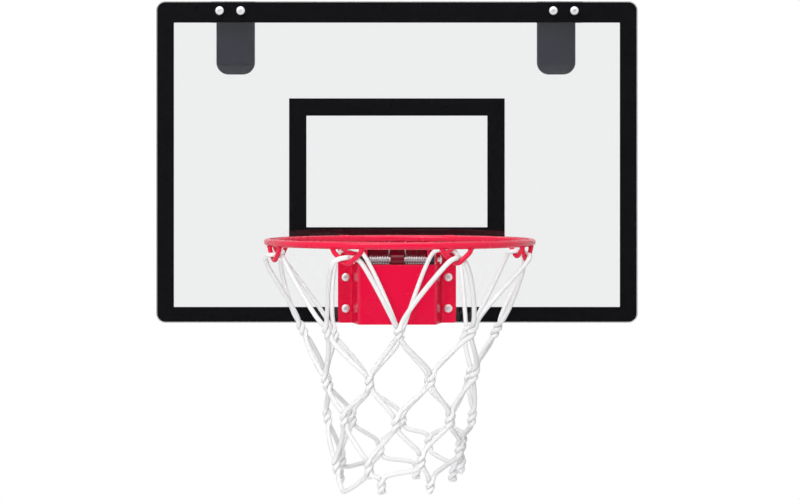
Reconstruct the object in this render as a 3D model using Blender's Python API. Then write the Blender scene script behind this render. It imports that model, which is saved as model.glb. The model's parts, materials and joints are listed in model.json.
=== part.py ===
"""Over-the-door basketball hoop: clear backboard, sprung steel rim and knotted cord net.

The origin is on the top front edge of the door that the hoop hangs on, midway between its two
hangers. +X is to the right for someone facing the hoop, +Y goes back through the door, +Z is up.
All sizes are in metres.
"""

import math

import bmesh
import bpy
from mathutils import Matrix, Vector

MM = 0.001

# Air left between neighbouring pieces
GAP = 0.3 * MM

# Backboard sheet
BOARD_WIDTH = 457 * MM
BOARD_HEIGHT = 305 * MM
BOARD_THICKNESS = 4 * MM
BOARD_CORNER_RADIUS = 8.5 * MM
BOARD_ABOVE_DOOR = 3 * MM

# Lines printed on the back of the sheet
PRINT_THICKNESS = 0.3 * MM
BORDER_SIDE = 16.5 * MM
BORDER_TOP = 20 * MM
BORDER_BOTTOM = 14.7 * MM
TARGET_WIDTH = 205 * MM
TARGET_HEIGHT = 139 * MM
TARGET_LINE = 16.5 * MM
TARGET_BELOW_TOP = 92 * MM

# Hangers, which take a door of this thickness between their pads
DOOR_THICKNESS = 46 * MM
HANGER_FROM_SIDE = 70.2 * MM
STRAP_WIDTH = 38 * MM
STRAP_THICKNESS = 2.5 * MM
STRAP_BEND = 2 * MM
FLANGE_COVER = 0.5 * MM
ARM_BELOW_BOARD_TOP = 64.8 * MM
ARM_CORNER_RADIUS = 12 * MM
HANGER_BOLT_SPACING = 20 * MM
HANGER_BOLT_BELOW_TOP = 9 * MM

# Foam pads
PAD_THICKNESS = 4 * MM
PAD_INSET = 0.6 * MM
PAD_BELOW_BEND = 0.5 * MM
PAD_CORNER_RADIUS = 2 * MM
REAR_PAD_SHORTER = 9.2 * MM
BUMPER_LENGTH = 60 * MM
BUMPER_FROM_SIDE = 18.5 * MM
BUMPER_INSET = 2 * MM

# Screws, nuts and washers
SCREW_DIAMETER = 4 * MM
HEAD_DIAMETER = 8 * MM
HEAD_HEIGHT = 2.6 * MM
RECESS_LENGTH = 4.4 * MM
RECESS_WIDTH = 1 * MM
RECESS_DEPTH = 1.4 * MM
NUT_FLATS = 7 * MM
NUT_HEIGHT = 2.9 * MM
NUT_ROOM_RADIUS = 5 * MM

# Pan head: shares of its radius and of its height, from the seat to the crown
HEAD_PROFILE = ((1.0, 0.0), (1.0, 0.35), (0.88, 0.72), (0.6, 0.93), (0.0, 1.0))
WASHER_DIAMETER = 9 * MM
WASHER_THICKNESS = 0.8 * MM

# Bracket that carries the rim
STEEL = 2 * MM
BRACKET_WIDTH = 112 * MM
BRACKET_FLANGE = 13 * MM
BRACKET_DEPTH = 25.5 * MM
BRACKET_PANEL_WIDTH = 73 * MM
BRACKET_BEND = 3 * MM
BRACKET_ABOVE_RING = 2.5 * MM
BRACKET_BOLT_FROM_EDGE = 7.5 * MM
BRACKET_BOLT_RISE = 29.6 * MM
BRACKET_BOLT_ABOVE_BOTTOM = 13.7 * MM
EAR_RADIUS = 8 * MM

# Rim ring
RING_DIAMETER = 227.4 * MM
RING_ROD = 6 * MM
RING_FROM_BOARD = 25.3 * MM
RING_BELOW_TOP = 224.3 * MM

# Hinge
PIN_DIAMETER = 4.8 * MM
PIN_HEAD_DIAMETER = 9 * MM
PIN_HEAD_HEIGHT = 2 * MM
PIN_HEAD_CHAMFER = 1 * MM
PIN_CLIP_THICKNESS = 1 * MM
PIN_CLIP_OPENING = 60
PIN_END = 1.6 * MM
PIN_CHAMFER = 0.6 * MM
PIN_BELOW_RING = 20 * MM
PIN_FROM_BOARD = 19 * MM
KNUCKLE_RADIUS = 6.3 * MM
KNUCKLE_WIDTH = 13 * MM
CHEEK_PLACE = 30 * MM
BUSH_DIAMETER = 9 * MM

# Torsion springs, one at each side of the knuckle
SPRING_DIAMETER = 7.4 * MM
SPRING_WIRE = 1.6 * MM
SPRING_TURNS = 8.25
SPRING_POINTS_PER_TURN = 10
SPRING_LEG_SHORTER = 0.7 * MM
SPRING_LEAST_GAP = 0.4 * MM

# Rim plate
RIM_PLATE_THICKNESS = 3 * MM
APRON_WIDTH = 71 * MM
APRON_BELOW_PIN = 5.5 * MM

# Hooks under the ring
HOOK_COUNT = 8
HOOK_WIRE = 4 * MM
HOOK_WIDTH = 25 * MM
HOOK_DEPTH = 16 * MM
HOOK_BEND = 5.5 * MM

# Net: rows of knots below the ring, then the tails at its lower edge
CORD = 4 * MM
CORD_SIDES = 6
NET_ROW_DROP = (71 * MM, 113 * MM, 147 * MM, 181 * MM, 201 * MM)
NET_ROW_REAR_SAG = (18 * MM, 17 * MM, 15 * MM, 4 * MM, 8 * MM)
NET_ROW_RADIUS = (84 * MM, 67 * MM, 62 * MM, 57 * MM, 54 * MM)
NET_ROW_TWIST = (-1.5, -0.5, -3.5, -6.0, -17.0)
NET_ROW_SLOPE = (0.0, 0.05, 0.0, 0.15, 0.0)
OPEN_TIP_INDEX = 7
OPEN_TIP_DEPTH = 10 * MM
SHORT_TIP_INDEX = 2
SHORT_TIP_RISE = 12 * MM
KNOT_LENGTH = 14 * MM
KNOT_STRAND_GAP = 0.4 * MM
KNOT_LEAN = math.radians(22)
TAIL_LENGTH = 12 * MM
TAIL_END_DIAMETER = 3.2 * MM

# The cord's arch over a hook, from its outer side to its inner side: its air, how far its ends lie
# along the ring, outwards and down from its top, and how they run on; one hook is crossed the other
# way, clear of the bracket
SADDLE_GAP = 0.5 * MM
SADDLE_REACH = (9 * MM, 4.8 * MM, 3.2 * MM)
SADDLE_LEAVE = (0.7, -0.1, 0.7)
REVERSED_HOOK = 4

# Smoothness of round shapes
SHARP_ANGLE = math.radians(35)
SADDLE_STEPS = 4
CORD_STEPS = 3
TIP_STEPS = 4
CORNER_STEPS = 5
BEND_STEPS = 3
HOLE_SIDES = 12
TURNED_SIDES = 16
RING_SEGMENTS = 64
RING_SIDES = 8
PLATE_ARC_STEPS = 18

# Depths, from the door's front face outwards
FLANGE_BACK = -(PAD_THICKNESS + GAP)
FLANGE_FRONT = FLANGE_BACK - STRAP_THICKNESS
PRINT_BACK = FLANGE_FRONT - GAP
PRINT_FRONT = PRINT_BACK - PRINT_THICKNESS
BOARD_BACK = PRINT_FRONT - GAP
BOARD_FRONT = BOARD_BACK - BOARD_THICKNESS
BRACKET_BACK = BOARD_FRONT - GAP
BRACKET_FACE = BRACKET_BACK - STEEL
PANEL_FRONT = BOARD_FRONT - BRACKET_DEPTH
PANEL_BACK = PANEL_FRONT + STEEL
ARM_FRONT = DOOR_THICKNESS + PAD_THICKNESS + GAP
ARM_BACK = ARM_FRONT + STRAP_THICKNESS

# Heights
BOARD_TOP = BOARD_ABOVE_DOOR
BOARD_BOTTOM = BOARD_TOP - BOARD_HEIGHT
FLANGE_BOTTOM = BOARD_TOP - BORDER_TOP + FLANGE_COVER
ARM_BOTTOM = BOARD_TOP - ARM_BELOW_BOARD_TOP
PAD_TOP = -(STRAP_BEND + PAD_BELOW_BEND)
HANGER_BOLT_Z = BOARD_TOP - HANGER_BOLT_BELOW_TOP
RING_Z = BOARD_TOP - RING_BELOW_TOP
BRACKET_TOP = RING_Z + BRACKET_ABOVE_RING

# Ring and hinge
RING_RADIUS = RING_DIAMETER / 2
RING_Y = BOARD_FRONT - RING_FROM_BOARD - RING_RADIUS
PIN_Y = BOARD_FRONT - PIN_FROM_BOARD
PIN_Z = RING_Z - PIN_BELOW_RING
SPRING_RADIUS = SPRING_DIAMETER / 2
SPRING_REACH = SPRING_RADIUS + SPRING_WIRE / 2
PANEL_TOP = PIN_Z - SPRING_REACH - GAP
APRON_FRONT = PIN_Y + SPRING_REACH + GAP
APRON_BACK = APRON_FRONT + STEEL
RIM_PLATE_TOP = RING_Z + RIM_PLATE_THICKNESS / 2
RIM_PLATE_BOTTOM = RING_Z - RIM_PLATE_THICKNESS / 2
RIM_PLATE_REAR = BRACKET_FACE - GAP
HOOK_TOP = RING_Z - RING_ROD / 2 - GAP
HOOK_LOW = RING_Z - HOOK_DEPTH + HOOK_WIRE / 2

# Holes take their screw or pin with the usual air round it
SCREW_HOLE_RADIUS = SCREW_DIAMETER / 2 + GAP
PIN_HOLE_RADIUS = PIN_DIAMETER / 2 + GAP

# Holes are cut with tools that run this far past both faces
OVERRUN = 5 * MM

HINGE_POINT = Vector((0, PIN_Y, PIN_Z))
NET_POINT = Vector((0, RING_Y, HOOK_LOW))
SIDES = {"left": -1, "right": 1}


def make_material(name, colour, roughness, metallic=0.0, alpha=1.0):
    """A plain surface of one colour."""
    material = bpy.data.materials.new(name)
    material.use_nodes = True
    surface = material.node_tree.nodes["Principled BSDF"]
    surface.inputs["Base Color"].default_value = (*colour, 1.0)
    surface.inputs["Roughness"].default_value = roughness
    surface.inputs["Metallic"].default_value = metallic
    surface.inputs["Alpha"].default_value = alpha
    return material


def make_empty(name, place):
    """The parent of the pieces of one moving body, on its joint's axis."""
    empty = bpy.data.objects.new(name, None)
    empty.empty_display_size = 20 * MM
    empty.location = place
    bpy.context.collection.objects.link(empty)
    return empty


def make_object(name, shape, material=None, parent=None):
    """Turn a bmesh in row coordinates into an object under its body's empty."""
    bmesh.ops.recalc_face_normals(shape, faces=shape.faces)
    mesh = bpy.data.meshes.new(name)
    shape.to_mesh(mesh)
    shape.free()
    mesh.shade_smooth()
    mesh.set_sharp_from_angle(angle=SHARP_ANGLE)
    piece = bpy.data.objects.new(name, mesh)
    bpy.context.collection.objects.link(piece)
    if parent:
        mesh.transform(Matrix.Translation(-parent.location))
        piece.parent = parent
    if material:
        mesh.materials.append(material)
    return piece


def apply_boolean(piece, shape, operation):
    """Cut a piece with a tool, or join more of its own metal to it."""
    tool = make_object(piece.name + "_" + operation.lower() + "_tool", shape)
    tool.hide_render = True
    tool.display_type = "WIRE"
    modifier = piece.modifiers.new(operation.lower(), "BOOLEAN")
    modifier.operation = operation
    modifier.solver = "EXACT"
    modifier.object = tool


def to_space(axis, u, v, w):
    """A point from its two coordinates across an axis and its place along it."""
    if axis == "X":
        return Vector((w, u, v))
    if axis == "Y":
        return Vector((u, w, v))
    return Vector((u, v, w))


def circle(radius, sides, centre=(0.0, 0.0), phase=0.0):
    """Corners of a regular polygon round a centre."""
    turns = [phase + math.tau * step / sides for step in range(sides)]
    return [(centre[0] + radius * math.cos(t), centre[1] + radius * math.sin(t)) for t in turns]


def arc(centre, radius, start, end, steps):
    """Points on an arc, both ends included, with its angles in degrees."""
    angles = [math.radians(start + (end - start) * step / steps) for step in range(steps + 1)]
    return [(centre[0] + radius * math.cos(a), centre[1] + radius * math.sin(a)) for a in angles]


def rounded_box(low, high, radii):
    """An outline with round corners, in the order lower left, lower right, upper right, upper left."""
    (u0, v0), (u1, v1) = low, high
    corners = ((u0, v0, 1, 1), (u1, v0, -1, 1), (u1, v1, -1, -1), (u0, v1, 1, -1))
    outline = []
    for number, ((u, v, inward_u, inward_v), radius) in enumerate(zip(corners, radii)):
        if radius <= 0:
            outline.append((u, v))
            continue
        centre = (u + inward_u * radius, v + inward_v * radius)
        start = 180 + 90 * number
        outline += arc(centre, radius, start, start + 90, CORNER_STEPS)
    return outline


def add_prism(shape, axis, outline, low, high, holes=()):
    """Add a flat-ended body of any outline, with holes, along an axis."""
    edges = []
    for loop in (outline, *holes):
        points = [shape.verts.new(to_space(axis, u, v, low)) for u, v in loop]
        edges += [shape.edges.new((a, b)) for a, b in zip(points, points[1:] + points[:1])]
    filled = bmesh.ops.triangle_fill(shape, use_beauty=True, edges=edges)
    floor = [item for item in filled["geom"] if isinstance(item, bmesh.types.BMFace)]
    raised = bmesh.ops.extrude_face_region(shape, geom=floor, use_keep_orig=True)
    moved = [item for item in raised["geom"] if isinstance(item, bmesh.types.BMVert)]
    bmesh.ops.translate(shape, verts=moved, vec=to_space(axis, 0, 0, high - low))


def add_box(shape, low, high):
    """Add a box between two corners."""
    outline = [(low[0], low[1]), (high[0], low[1]), (high[0], high[1]), (low[0], high[1])]
    add_prism(shape, "Z", outline, low[2], high[2])


def add_turned(shape, axis, profile, centre, sides):
    """Add a turned body from (radius, place along the axis) pairs; a radius of 0 is a pole."""
    rings = []
    for radius, along in profile:
        if radius == 0:
            rings.append([shape.verts.new(to_space(axis, *centre, along))])
            continue
        points = circle(radius, sides, centre)
        rings.append([shape.verts.new(to_space(axis, u, v, along)) for u, v in points])
    for lower, upper in zip(rings, rings[1:]):
        for step in range(sides):
            after = (step + 1) % sides
            corners = [lower[step % len(lower)], lower[after % len(lower)]]
            corners += [upper[after % len(upper)], upper[step % len(upper)]]
            shape.faces.new(list(dict.fromkeys(corners)))


def prism(name, axis, outline, low, high, material, parent, holes=()):
    """An object that is one flat-ended body."""
    shape = bmesh.new()
    add_prism(shape, axis, outline, low, high, holes)
    return make_object(name, shape, material, parent)


def wire(name, points, diameter, resolution, material, parent, origin):
    """A round wire along a line of points, with closed ends."""
    curve = bpy.data.curves.new(name, "CURVE")
    curve.dimensions = "3D"
    curve.bevel_depth = diameter / 2
    curve.bevel_resolution = resolution
    curve.use_fill_caps = True
    curve.materials.append(material)
    spline = curve.splines.new("POLY")
    spline.points.add(len(points) - 1)
    for knot, place in zip(spline.points, points):
        knot.co = (*(place - origin), 1.0)
        knot.radius = 1.0
    piece = bpy.data.objects.new(name, curve)
    bpy.context.collection.objects.link(piece)
    piece.parent = parent
    return piece


def offset_line(points, distance):
    """The same open line moved to its left by a distance, with mitred corners."""
    moved = []
    for number, point in enumerate(points):
        before = Vector(points[max(number - 1, 0)])
        here = Vector(point)
        after = Vector(points[min(number + 1, len(points) - 1)])
        first = (here - before).normalized() if number else (after - here).normalized()
        second = (after - here).normalized() if number < len(points) - 1 else first
        left_a = Vector((-first.y, first.x))
        left_b = Vector((-second.y, second.x))
        middle = (left_a + left_b).normalized()
        moved.append(tuple(here + middle * (distance / middle.dot(left_a))))
    return moved


def round_corners(points, radius, steps):
    """An open line with its inner corners rounded."""
    rounded = [points[0]]
    for before, here, after in zip(points, points[1:], points[2:]):
        corner = Vector(here)
        back = (Vector(before) - corner).normalized()
        ahead = (Vector(after) - corner).normalized()
        half = back.angle(ahead) / 2
        reach = radius / math.tan(half)
        centre = corner + (back + ahead).normalized() * (radius / math.sin(half))
        start = corner + back * reach - centre
        end = corner + ahead * reach - centre
        sweep = math.atan2(start.cross(end), start.dot(end))
        for step in range(steps + 1):
            turned = Matrix.Rotation(sweep * step / steps, 2) @ start
            rounded.append(tuple(centre + turned))
    rounded.append(points[-1])
    return rounded


def hanger_places():
    """Each hanger's side and the place of its middle along X."""
    return {side: sign * (BOARD_WIDTH / 2 - HANGER_FROM_SIDE) for side, sign in SIDES.items()}


def hanger_bolt_places():
    """X of each hanger bolt, from left to right."""
    steps = (-HANGER_BOLT_SPACING / 2, HANGER_BOLT_SPACING / 2)
    return [middle + step for middle in hanger_places().values() for step in steps]


def bracket_bolt_places():
    """(X, Z) of each bracket bolt."""
    low = BOARD_BOTTOM + BRACKET_BOLT_ABOVE_BOTTOM
    heights = (low + BRACKET_BOLT_RISE, low)
    across = BRACKET_WIDTH / 2 - BRACKET_BOLT_FROM_EDGE
    return [(sign * across, z) for z in heights for sign in SIDES.values()]


def board_outline():
    """The sheet's outline, which the border print follows."""
    low = (-BOARD_WIDTH / 2, BOARD_BOTTOM)
    high = (BOARD_WIDTH / 2, BOARD_TOP)
    return rounded_box(low, high, [BOARD_CORNER_RADIUS] * 4)


def screw_holes(places):
    """Round holes for screws at these places."""
    return [circle(SCREW_HOLE_RADIUS, HOLE_SIDES, place) for place in places]


def build_board(materials, parent):
    """The clear sheet, with a hole for each bolt."""
    hanger_holes = screw_holes([(x, HANGER_BOLT_Z) for x in hanger_bolt_places()])
    bracket_holes = screw_holes(bracket_bolt_places())
    holes = hanger_holes + bracket_holes
    prism("backboard_sheet", "Y", board_outline(), BOARD_BACK, BOARD_FRONT, materials["clear"], parent, holes)


def build_prints(materials, parent):
    """The border and the target rectangle on the back of the sheet."""
    ink = materials["black_print"]
    inner_low = (-BOARD_WIDTH / 2 + BORDER_SIDE, BOARD_BOTTOM + BORDER_BOTTOM)
    inner_high = (BOARD_WIDTH / 2 - BORDER_SIDE, BOARD_TOP - BORDER_TOP)
    holes = [rounded_box(inner_low, inner_high, [0] * 4)]
    holes += screw_holes([(x, HANGER_BOLT_Z) for x in hanger_bolt_places()])
    border = prism("border_print", "Y", board_outline(), PRINT_BACK, PRINT_FRONT, ink, parent, holes)
    cutter = bmesh.new()
    for place in bracket_bolt_places():
        clear = circle(WASHER_DIAMETER / 2 + 2 * GAP, TURNED_SIDES, place)
        add_prism(cutter, "Y", clear, PRINT_BACK + OVERRUN, PRINT_FRONT - OVERRUN)
    apply_boolean(border, cutter, "DIFFERENCE")

    top = BOARD_TOP - TARGET_BELOW_TOP
    low = (-TARGET_WIDTH / 2, top - TARGET_HEIGHT)
    high = (TARGET_WIDTH / 2, top)
    outer = rounded_box(low, high, [0] * 4)
    inner_low = (low[0] + TARGET_LINE, low[1] + TARGET_LINE)
    inner_high = (high[0] - TARGET_LINE, high[1] - TARGET_LINE)
    inner = rounded_box(inner_low, inner_high, [0] * 4)
    prism("target_print", "Y", outer, PRINT_BACK, PRINT_FRONT, ink, parent, [inner])


def build_hanger(side, middle, materials, parent):
    """A steel strap bent over the door, with a round-cornered arm behind it."""
    line = [(FLANGE_FRONT, FLANGE_BOTTOM), (FLANGE_FRONT, STRAP_THICKNESS)]
    line += [(ARM_BACK, STRAP_THICKNESS), (ARM_BACK, ARM_BOTTOM)]
    outer = round_corners(line, STRAP_BEND + STRAP_THICKNESS, BEND_STEPS)
    inner = round_corners(offset_line(line, -STRAP_THICKNESS), STRAP_BEND, BEND_STEPS)
    low, high = middle - STRAP_WIDTH / 2, middle + STRAP_WIDTH / 2
    metal = materials["black_metal"]
    hanger = prism("hanger_" + side, "X", outer + inner[::-1], low, high, metal, parent)

    cutter = bmesh.new()
    for step in (-HANGER_BOLT_SPACING / 2, HANGER_BOLT_SPACING / 2):
        hole = circle(SCREW_HOLE_RADIUS, HOLE_SIDES, (middle + step, HANGER_BOLT_Z))
        add_prism(cutter, "Y", hole, FLANGE_FRONT - OVERRUN, FLANGE_BACK + OVERRUN)
    for sign in SIDES.values():
        edge = middle + sign * STRAP_WIDTH / 2
        centre = (edge - sign * ARM_CORNER_RADIUS, ARM_BOTTOM + ARM_CORNER_RADIUS)
        start, end = (270, 360) if sign > 0 else (270, 180)
        corner = arc(centre, ARM_CORNER_RADIUS, start, end, CORNER_STEPS)
        beyond = (edge + sign * OVERRUN, centre[1])
        corner += [beyond, (beyond[0], ARM_BOTTOM - OVERRUN), (centre[0], ARM_BOTTOM - OVERRUN)]
        add_prism(cutter, "Y", corner, ARM_FRONT - OVERRUN, ARM_BACK + OVERRUN)
    apply_boolean(hanger, cutter, "DIFFERENCE")


def build_pads(side, middle, materials, parent):
    """The foam on both sides of the door: the front pad leaves room for the nuts."""
    foam = materials["foam"]
    half = STRAP_WIDTH / 2 - PAD_INSET
    low = (middle - half, FLANGE_BOTTOM)
    pad = prism(
        "front_pad_" + side, "Y", rounded_box(low, (middle + half, PAD_TOP), [0] * 4),
        0.0, -PAD_THICKNESS, foam, parent,
    )
    cutter = bmesh.new()
    for step in (-HANGER_BOLT_SPACING / 2, HANGER_BOLT_SPACING / 2):
        room = circle(NUT_ROOM_RADIUS, TURNED_SIDES, (middle + step, HANGER_BOLT_Z))
        add_prism(cutter, "Y", room, OVERRUN, -PAD_THICKNESS - OVERRUN)
    apply_boolean(pad, cutter, "DIFFERENCE")

    low = (middle - half, ARM_BOTTOM + REAR_PAD_SHORTER)
    outline = rounded_box(low, (middle + half, PAD_TOP), [PAD_CORNER_RADIUS, PAD_CORNER_RADIUS, 0, 0])
    rear_face = DOOR_THICKNESS + PAD_THICKNESS
    prism("rear_pad_" + side, "Y", outline, DOOR_THICKNESS, rear_face, foam, parent)


def build_bumper(side, sign, materials, parent):
    """A foam strip behind the lower border, which rests on the door's face."""
    middle = sign * (BOARD_WIDTH / 2 - BUMPER_FROM_SIDE - BUMPER_LENGTH / 2)
    low = (middle - BUMPER_LENGTH / 2, BOARD_BOTTOM + BUMPER_INSET)
    high = (middle + BUMPER_LENGTH / 2, BOARD_BOTTOM + BORDER_BOTTOM - BUMPER_INSET)
    outline = rounded_box(low, high, [PAD_CORNER_RADIUS] * 4)
    prism("bumper_" + side, "Y", outline, 0.0, PRINT_BACK + GAP, materials["foam"], parent)


def build_screw(name, x, z, seat, end, materials, parent):
    """A pan-head screw from the front, its head on a seat, with a crossed slot."""
    profile = [(0, end), (SCREW_DIAMETER / 2, end), (SCREW_DIAMETER / 2, seat)]
    profile += [(HEAD_DIAMETER / 2 * wide, seat - HEAD_HEIGHT * high) for wide, high in HEAD_PROFILE]
    shape = bmesh.new()
    add_turned(shape, "Y", profile, (x, z), TURNED_SIDES)
    screw = make_object(name, shape, materials["zinc"], parent)
    half, thin = RECESS_LENGTH / 2, RECESS_WIDTH / 2
    cross = [(half, thin), (thin, thin), (thin, half), (-thin, half), (-thin, thin), (-half, thin)]
    cross += [(-u, -v) for u, v in cross]
    cutter = bmesh.new()
    outline = [(x + u, z + v) for u, v in cross]
    crown = seat - HEAD_HEIGHT
    add_prism(cutter, "Y", outline, crown - OVERRUN, crown + RECESS_DEPTH)
    apply_boolean(screw, cutter, "DIFFERENCE")


def build_nut(name, x, z, front, materials, parent):
    """A hexagon nut behind what its screw holds."""
    outline = circle(NUT_FLATS / math.sqrt(3), 6, (x, z))
    bore = [circle(SCREW_HOLE_RADIUS, HOLE_SIDES, (x, z))]
    prism(name, "Y", outline, front, front + NUT_HEIGHT, materials["zinc"], parent, bore)


def build_fasteners(materials, parent):
    """Every screw with its nut, and the washers behind the bracket's screws."""
    seat = BOARD_FRONT - GAP
    nut_front = FLANGE_BACK + GAP
    end = nut_front + NUT_HEIGHT + GAP
    for number, x in enumerate(hanger_bolt_places(), 1):
        build_screw(f"hanger_bolt_{number}", x, HANGER_BOLT_Z, seat, end, materials, parent)
        build_nut(f"hanger_nut_{number}", x, HANGER_BOLT_Z, nut_front, materials, parent)

    seat = BRACKET_FACE - GAP
    washer_front = BOARD_BACK + GAP
    nut_front = washer_front + WASHER_THICKNESS + GAP
    end = nut_front + NUT_HEIGHT + GAP
    for number, (x, z) in enumerate(bracket_bolt_places(), 1):
        build_screw(f"bracket_bolt_{number}", x, z, seat, end, materials, parent)
        build_nut(f"bracket_nut_{number}", x, z, nut_front, materials, parent)
        rim = circle(WASHER_DIAMETER / 2, TURNED_SIDES, (x, z))
        bore = [circle(SCREW_HOLE_RADIUS, HOLE_SIDES, (x, z))]
        back = washer_front + WASHER_THICKNESS
        prism(f"bracket_washer_{number}", "Y", rim, washer_front, back, materials["zinc"], parent, bore)


def bracket_line():
    """The bracket's front side seen from above, from its left edge to its right one."""
    root = BRACKET_WIDTH / 2 - BRACKET_FLANGE
    panel = BRACKET_PANEL_WIDTH / 2
    right = [(panel, PANEL_FRONT), (root, BRACKET_FACE), (BRACKET_WIDTH / 2, BRACKET_FACE)]
    return [(-x, y) for x, y in reversed(right)] + right


def wall_outside(y):
    """How far from the middle the outer face of a bracket wall lies at a depth."""
    root = BRACKET_WIDTH / 2 - BRACKET_FLANGE
    panel = BRACKET_PANEL_WIDTH / 2
    share = (BRACKET_FACE - y) / (BRACKET_FACE - PANEL_FRONT)
    return root + (panel - root) * share


def wall_inside(y):
    """How far from the middle the inner face of a bracket wall lies at a depth."""
    slope = BRACKET_WIDTH / 2 - BRACKET_FLANGE - BRACKET_PANEL_WIDTH / 2
    run = BRACKET_FACE - PANEL_FRONT
    return wall_outside(y) - STEEL * math.hypot(run, slope) / run


def build_bracket(materials, parent):
    """The pressed bracket: two flanges, splayed walls with ears for the pin, and a front panel."""
    line = bracket_line()
    outer = round_corners(line, BRACKET_BEND, BEND_STEPS)
    inner = round_corners(offset_line(line, STEEL), BRACKET_BEND, BEND_STEPS)
    outline = outer + inner[::-1]
    red = materials["red_metal"]
    bracket = prism("rim_bracket", "Z", outline, BOARD_BOTTOM, BRACKET_TOP, red, parent)

    above = BRACKET_TOP + OVERRUN
    front = PANEL_FRONT - OVERRUN
    ear_top = PIN_Z + EAR_RADIUS
    ears = arc((PIN_Y, PIN_Z), EAR_RADIUS, 180, 90, 2 * BEND_STEPS)
    ears = [point for point in ears if point[1] > PANEL_TOP]
    ears = [(front, PIN_Z)] + ears + [(BRACKET_FACE, ear_top), (BRACKET_FACE, above), (front, above)]
    reach = BRACKET_WIDTH / 2 - BRACKET_FLANGE + BRACKET_BEND
    trimmer = bmesh.new()
    add_prism(trimmer, "X", ears, -reach, reach)
    apply_boolean(bracket, trimmer, "DIFFERENCE")

    cutter = bmesh.new()
    half = wall_inside(PANEL_BACK)
    add_box(cutter, (-half, front, PANEL_TOP), (half, PANEL_BACK + STEEL, ear_top - STEEL / 2))
    for x, z in bracket_bolt_places():
        hole = circle(SCREW_HOLE_RADIUS, HOLE_SIDES, (x, z))
        add_prism(cutter, "Y", hole, BRACKET_FACE - OVERRUN, BRACKET_BACK + OVERRUN)
    apply_boolean(bracket, cutter, "DIFFERENCE")

    bores = bmesh.new()
    for sign in SIDES.values():
        bore = circle(PIN_HOLE_RADIUS, HOLE_SIDES, (PIN_Y, PIN_Z))
        add_prism(bores, "X", bore, sign * (CHEEK_PLACE + GAP), sign * BRACKET_WIDTH / 2)
    apply_boolean(bracket, bores, "DIFFERENCE")


def build_pin(materials, parent):
    """The hinge pin, head to the right, with a clip on its left end."""
    head_seat = wall_outside(PIN_Y + PIN_HEAD_DIAMETER / 2) + GAP
    clip_seat = -head_seat
    radius = PIN_DIAMETER / 2
    head = PIN_HEAD_DIAMETER / 2
    tip = clip_seat - PIN_CLIP_THICKNESS - PIN_END
    crown = head_seat + PIN_HEAD_HEIGHT
    profile = [(0, tip), (radius - PIN_CHAMFER, tip), (radius, tip + PIN_CHAMFER), (radius, head_seat)]
    profile += [(head, head_seat), (head, crown - PIN_HEAD_CHAMFER)]
    profile += [(head - PIN_HEAD_CHAMFER, crown), (0, crown)]
    shape = bmesh.new()
    add_turned(shape, "X", profile, (PIN_Y, PIN_Z), TURNED_SIDES)
    make_object("hinge_pin", shape, materials["zinc"], parent)

    end = 180 - PIN_CLIP_OPENING / 2
    outer = arc((PIN_Y, PIN_Z), head, -end, end, TURNED_SIDES)
    inner = arc((PIN_Y, PIN_Z), PIN_HOLE_RADIUS, end, -end, TURNED_SIDES)
    outer_face = clip_seat - PIN_CLIP_THICKNESS
    prism("pin_clip", "X", outer + inner, clip_seat, outer_face, materials["zinc"], parent)


def build_bush(side, sign, materials, parent):
    """A plastic bush on the pin between the rim's cheek and the bracket's wall."""
    radius = BUSH_DIAMETER / 2
    low = sign * (CHEEK_PLACE + GAP)
    high = sign * (wall_inside(PIN_Y - radius) - GAP)
    outline = circle(radius, TURNED_SIDES, (PIN_Y, PIN_Z))
    bore = [circle(PIN_HOLE_RADIUS, TURNED_SIDES, (PIN_Y, PIN_Z))]
    prism("hinge_bush_" + side, "X", outline, low, high, materials["plastic"], parent, bore)


def spring_points(sign):
    """The spring's wire: down from behind the pin, round it, and out over the bracket's panel."""
    first = KNUCKLE_WIDTH / 2 + GAP + SPRING_WIRE / 2
    last = CHEEK_PLACE - STEEL - GAP - SPRING_WIRE / 2
    leg_top = RIM_PLATE_BOTTOM - SPRING_LEG_SHORTER
    leg_tip = PANEL_FRONT + GAP
    total = round(SPRING_TURNS * SPRING_POINTS_PER_TURN)
    points = [Vector((sign * first, PIN_Y + SPRING_RADIUS, leg_top))]
    for step in range(total + 1):
        turn = -math.tau * SPRING_TURNS * step / total
        x = sign * (first + (last - first) * step / total)
        y = PIN_Y + SPRING_RADIUS * math.cos(turn)
        z = PIN_Z + SPRING_RADIUS * math.sin(turn)
        points.append(Vector((x, y, z)))
    points.append(Vector((sign * last, leg_tip, points[-1].z)))
    return points


def least_gap_to_itself(points, diameter, skip):
    """The smallest air between parts of one wire that are at least some points apart."""
    least = math.inf
    for number, point in enumerate(points):
        for other in points[number + skip:]:
            least = min(least, (point - other).length - diameter)
    return least


def build_spring(side, sign, materials, parent):
    """A torsion spring, one unbroken wire."""
    points = spring_points(sign)
    least = least_gap_to_itself(points, SPRING_WIRE, SPRING_POINTS_PER_TURN // 2)
    print(f"torsion_spring_{side}: least gap to itself {least / MM:.2f} mm, over {SPRING_LEAST_GAP / MM} mm")
    origin = Vector((0, 0, 0))
    wire("torsion_spring_" + side, points, SPRING_WIRE, 1, materials["spring_steel"], parent, origin)


def build_ring(materials, parent):
    """The round steel ring."""
    shape = bmesh.new()
    rings = []
    for step in range(RING_SEGMENTS):
        turn = math.tau * step / RING_SEGMENTS
        outward = Vector((math.sin(turn), -math.cos(turn), 0))
        middle = Vector((0, RING_Y, RING_Z)) + outward * RING_RADIUS
        section = circle(RING_ROD / 2, RING_SIDES, phase=-math.pi / 2)
        rings.append([shape.verts.new(middle + outward * u + Vector((0, 0, v))) for u, v in section])
    for here, after in zip(rings, rings[1:] + rings[:1]):
        for side in range(RING_SIDES):
            beside = (side + 1) % RING_SIDES
            shape.faces.new((here[side], here[beside], after[beside], after[side]))
    make_object("rim_ring", shape, materials["red_metal"], parent)


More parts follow.
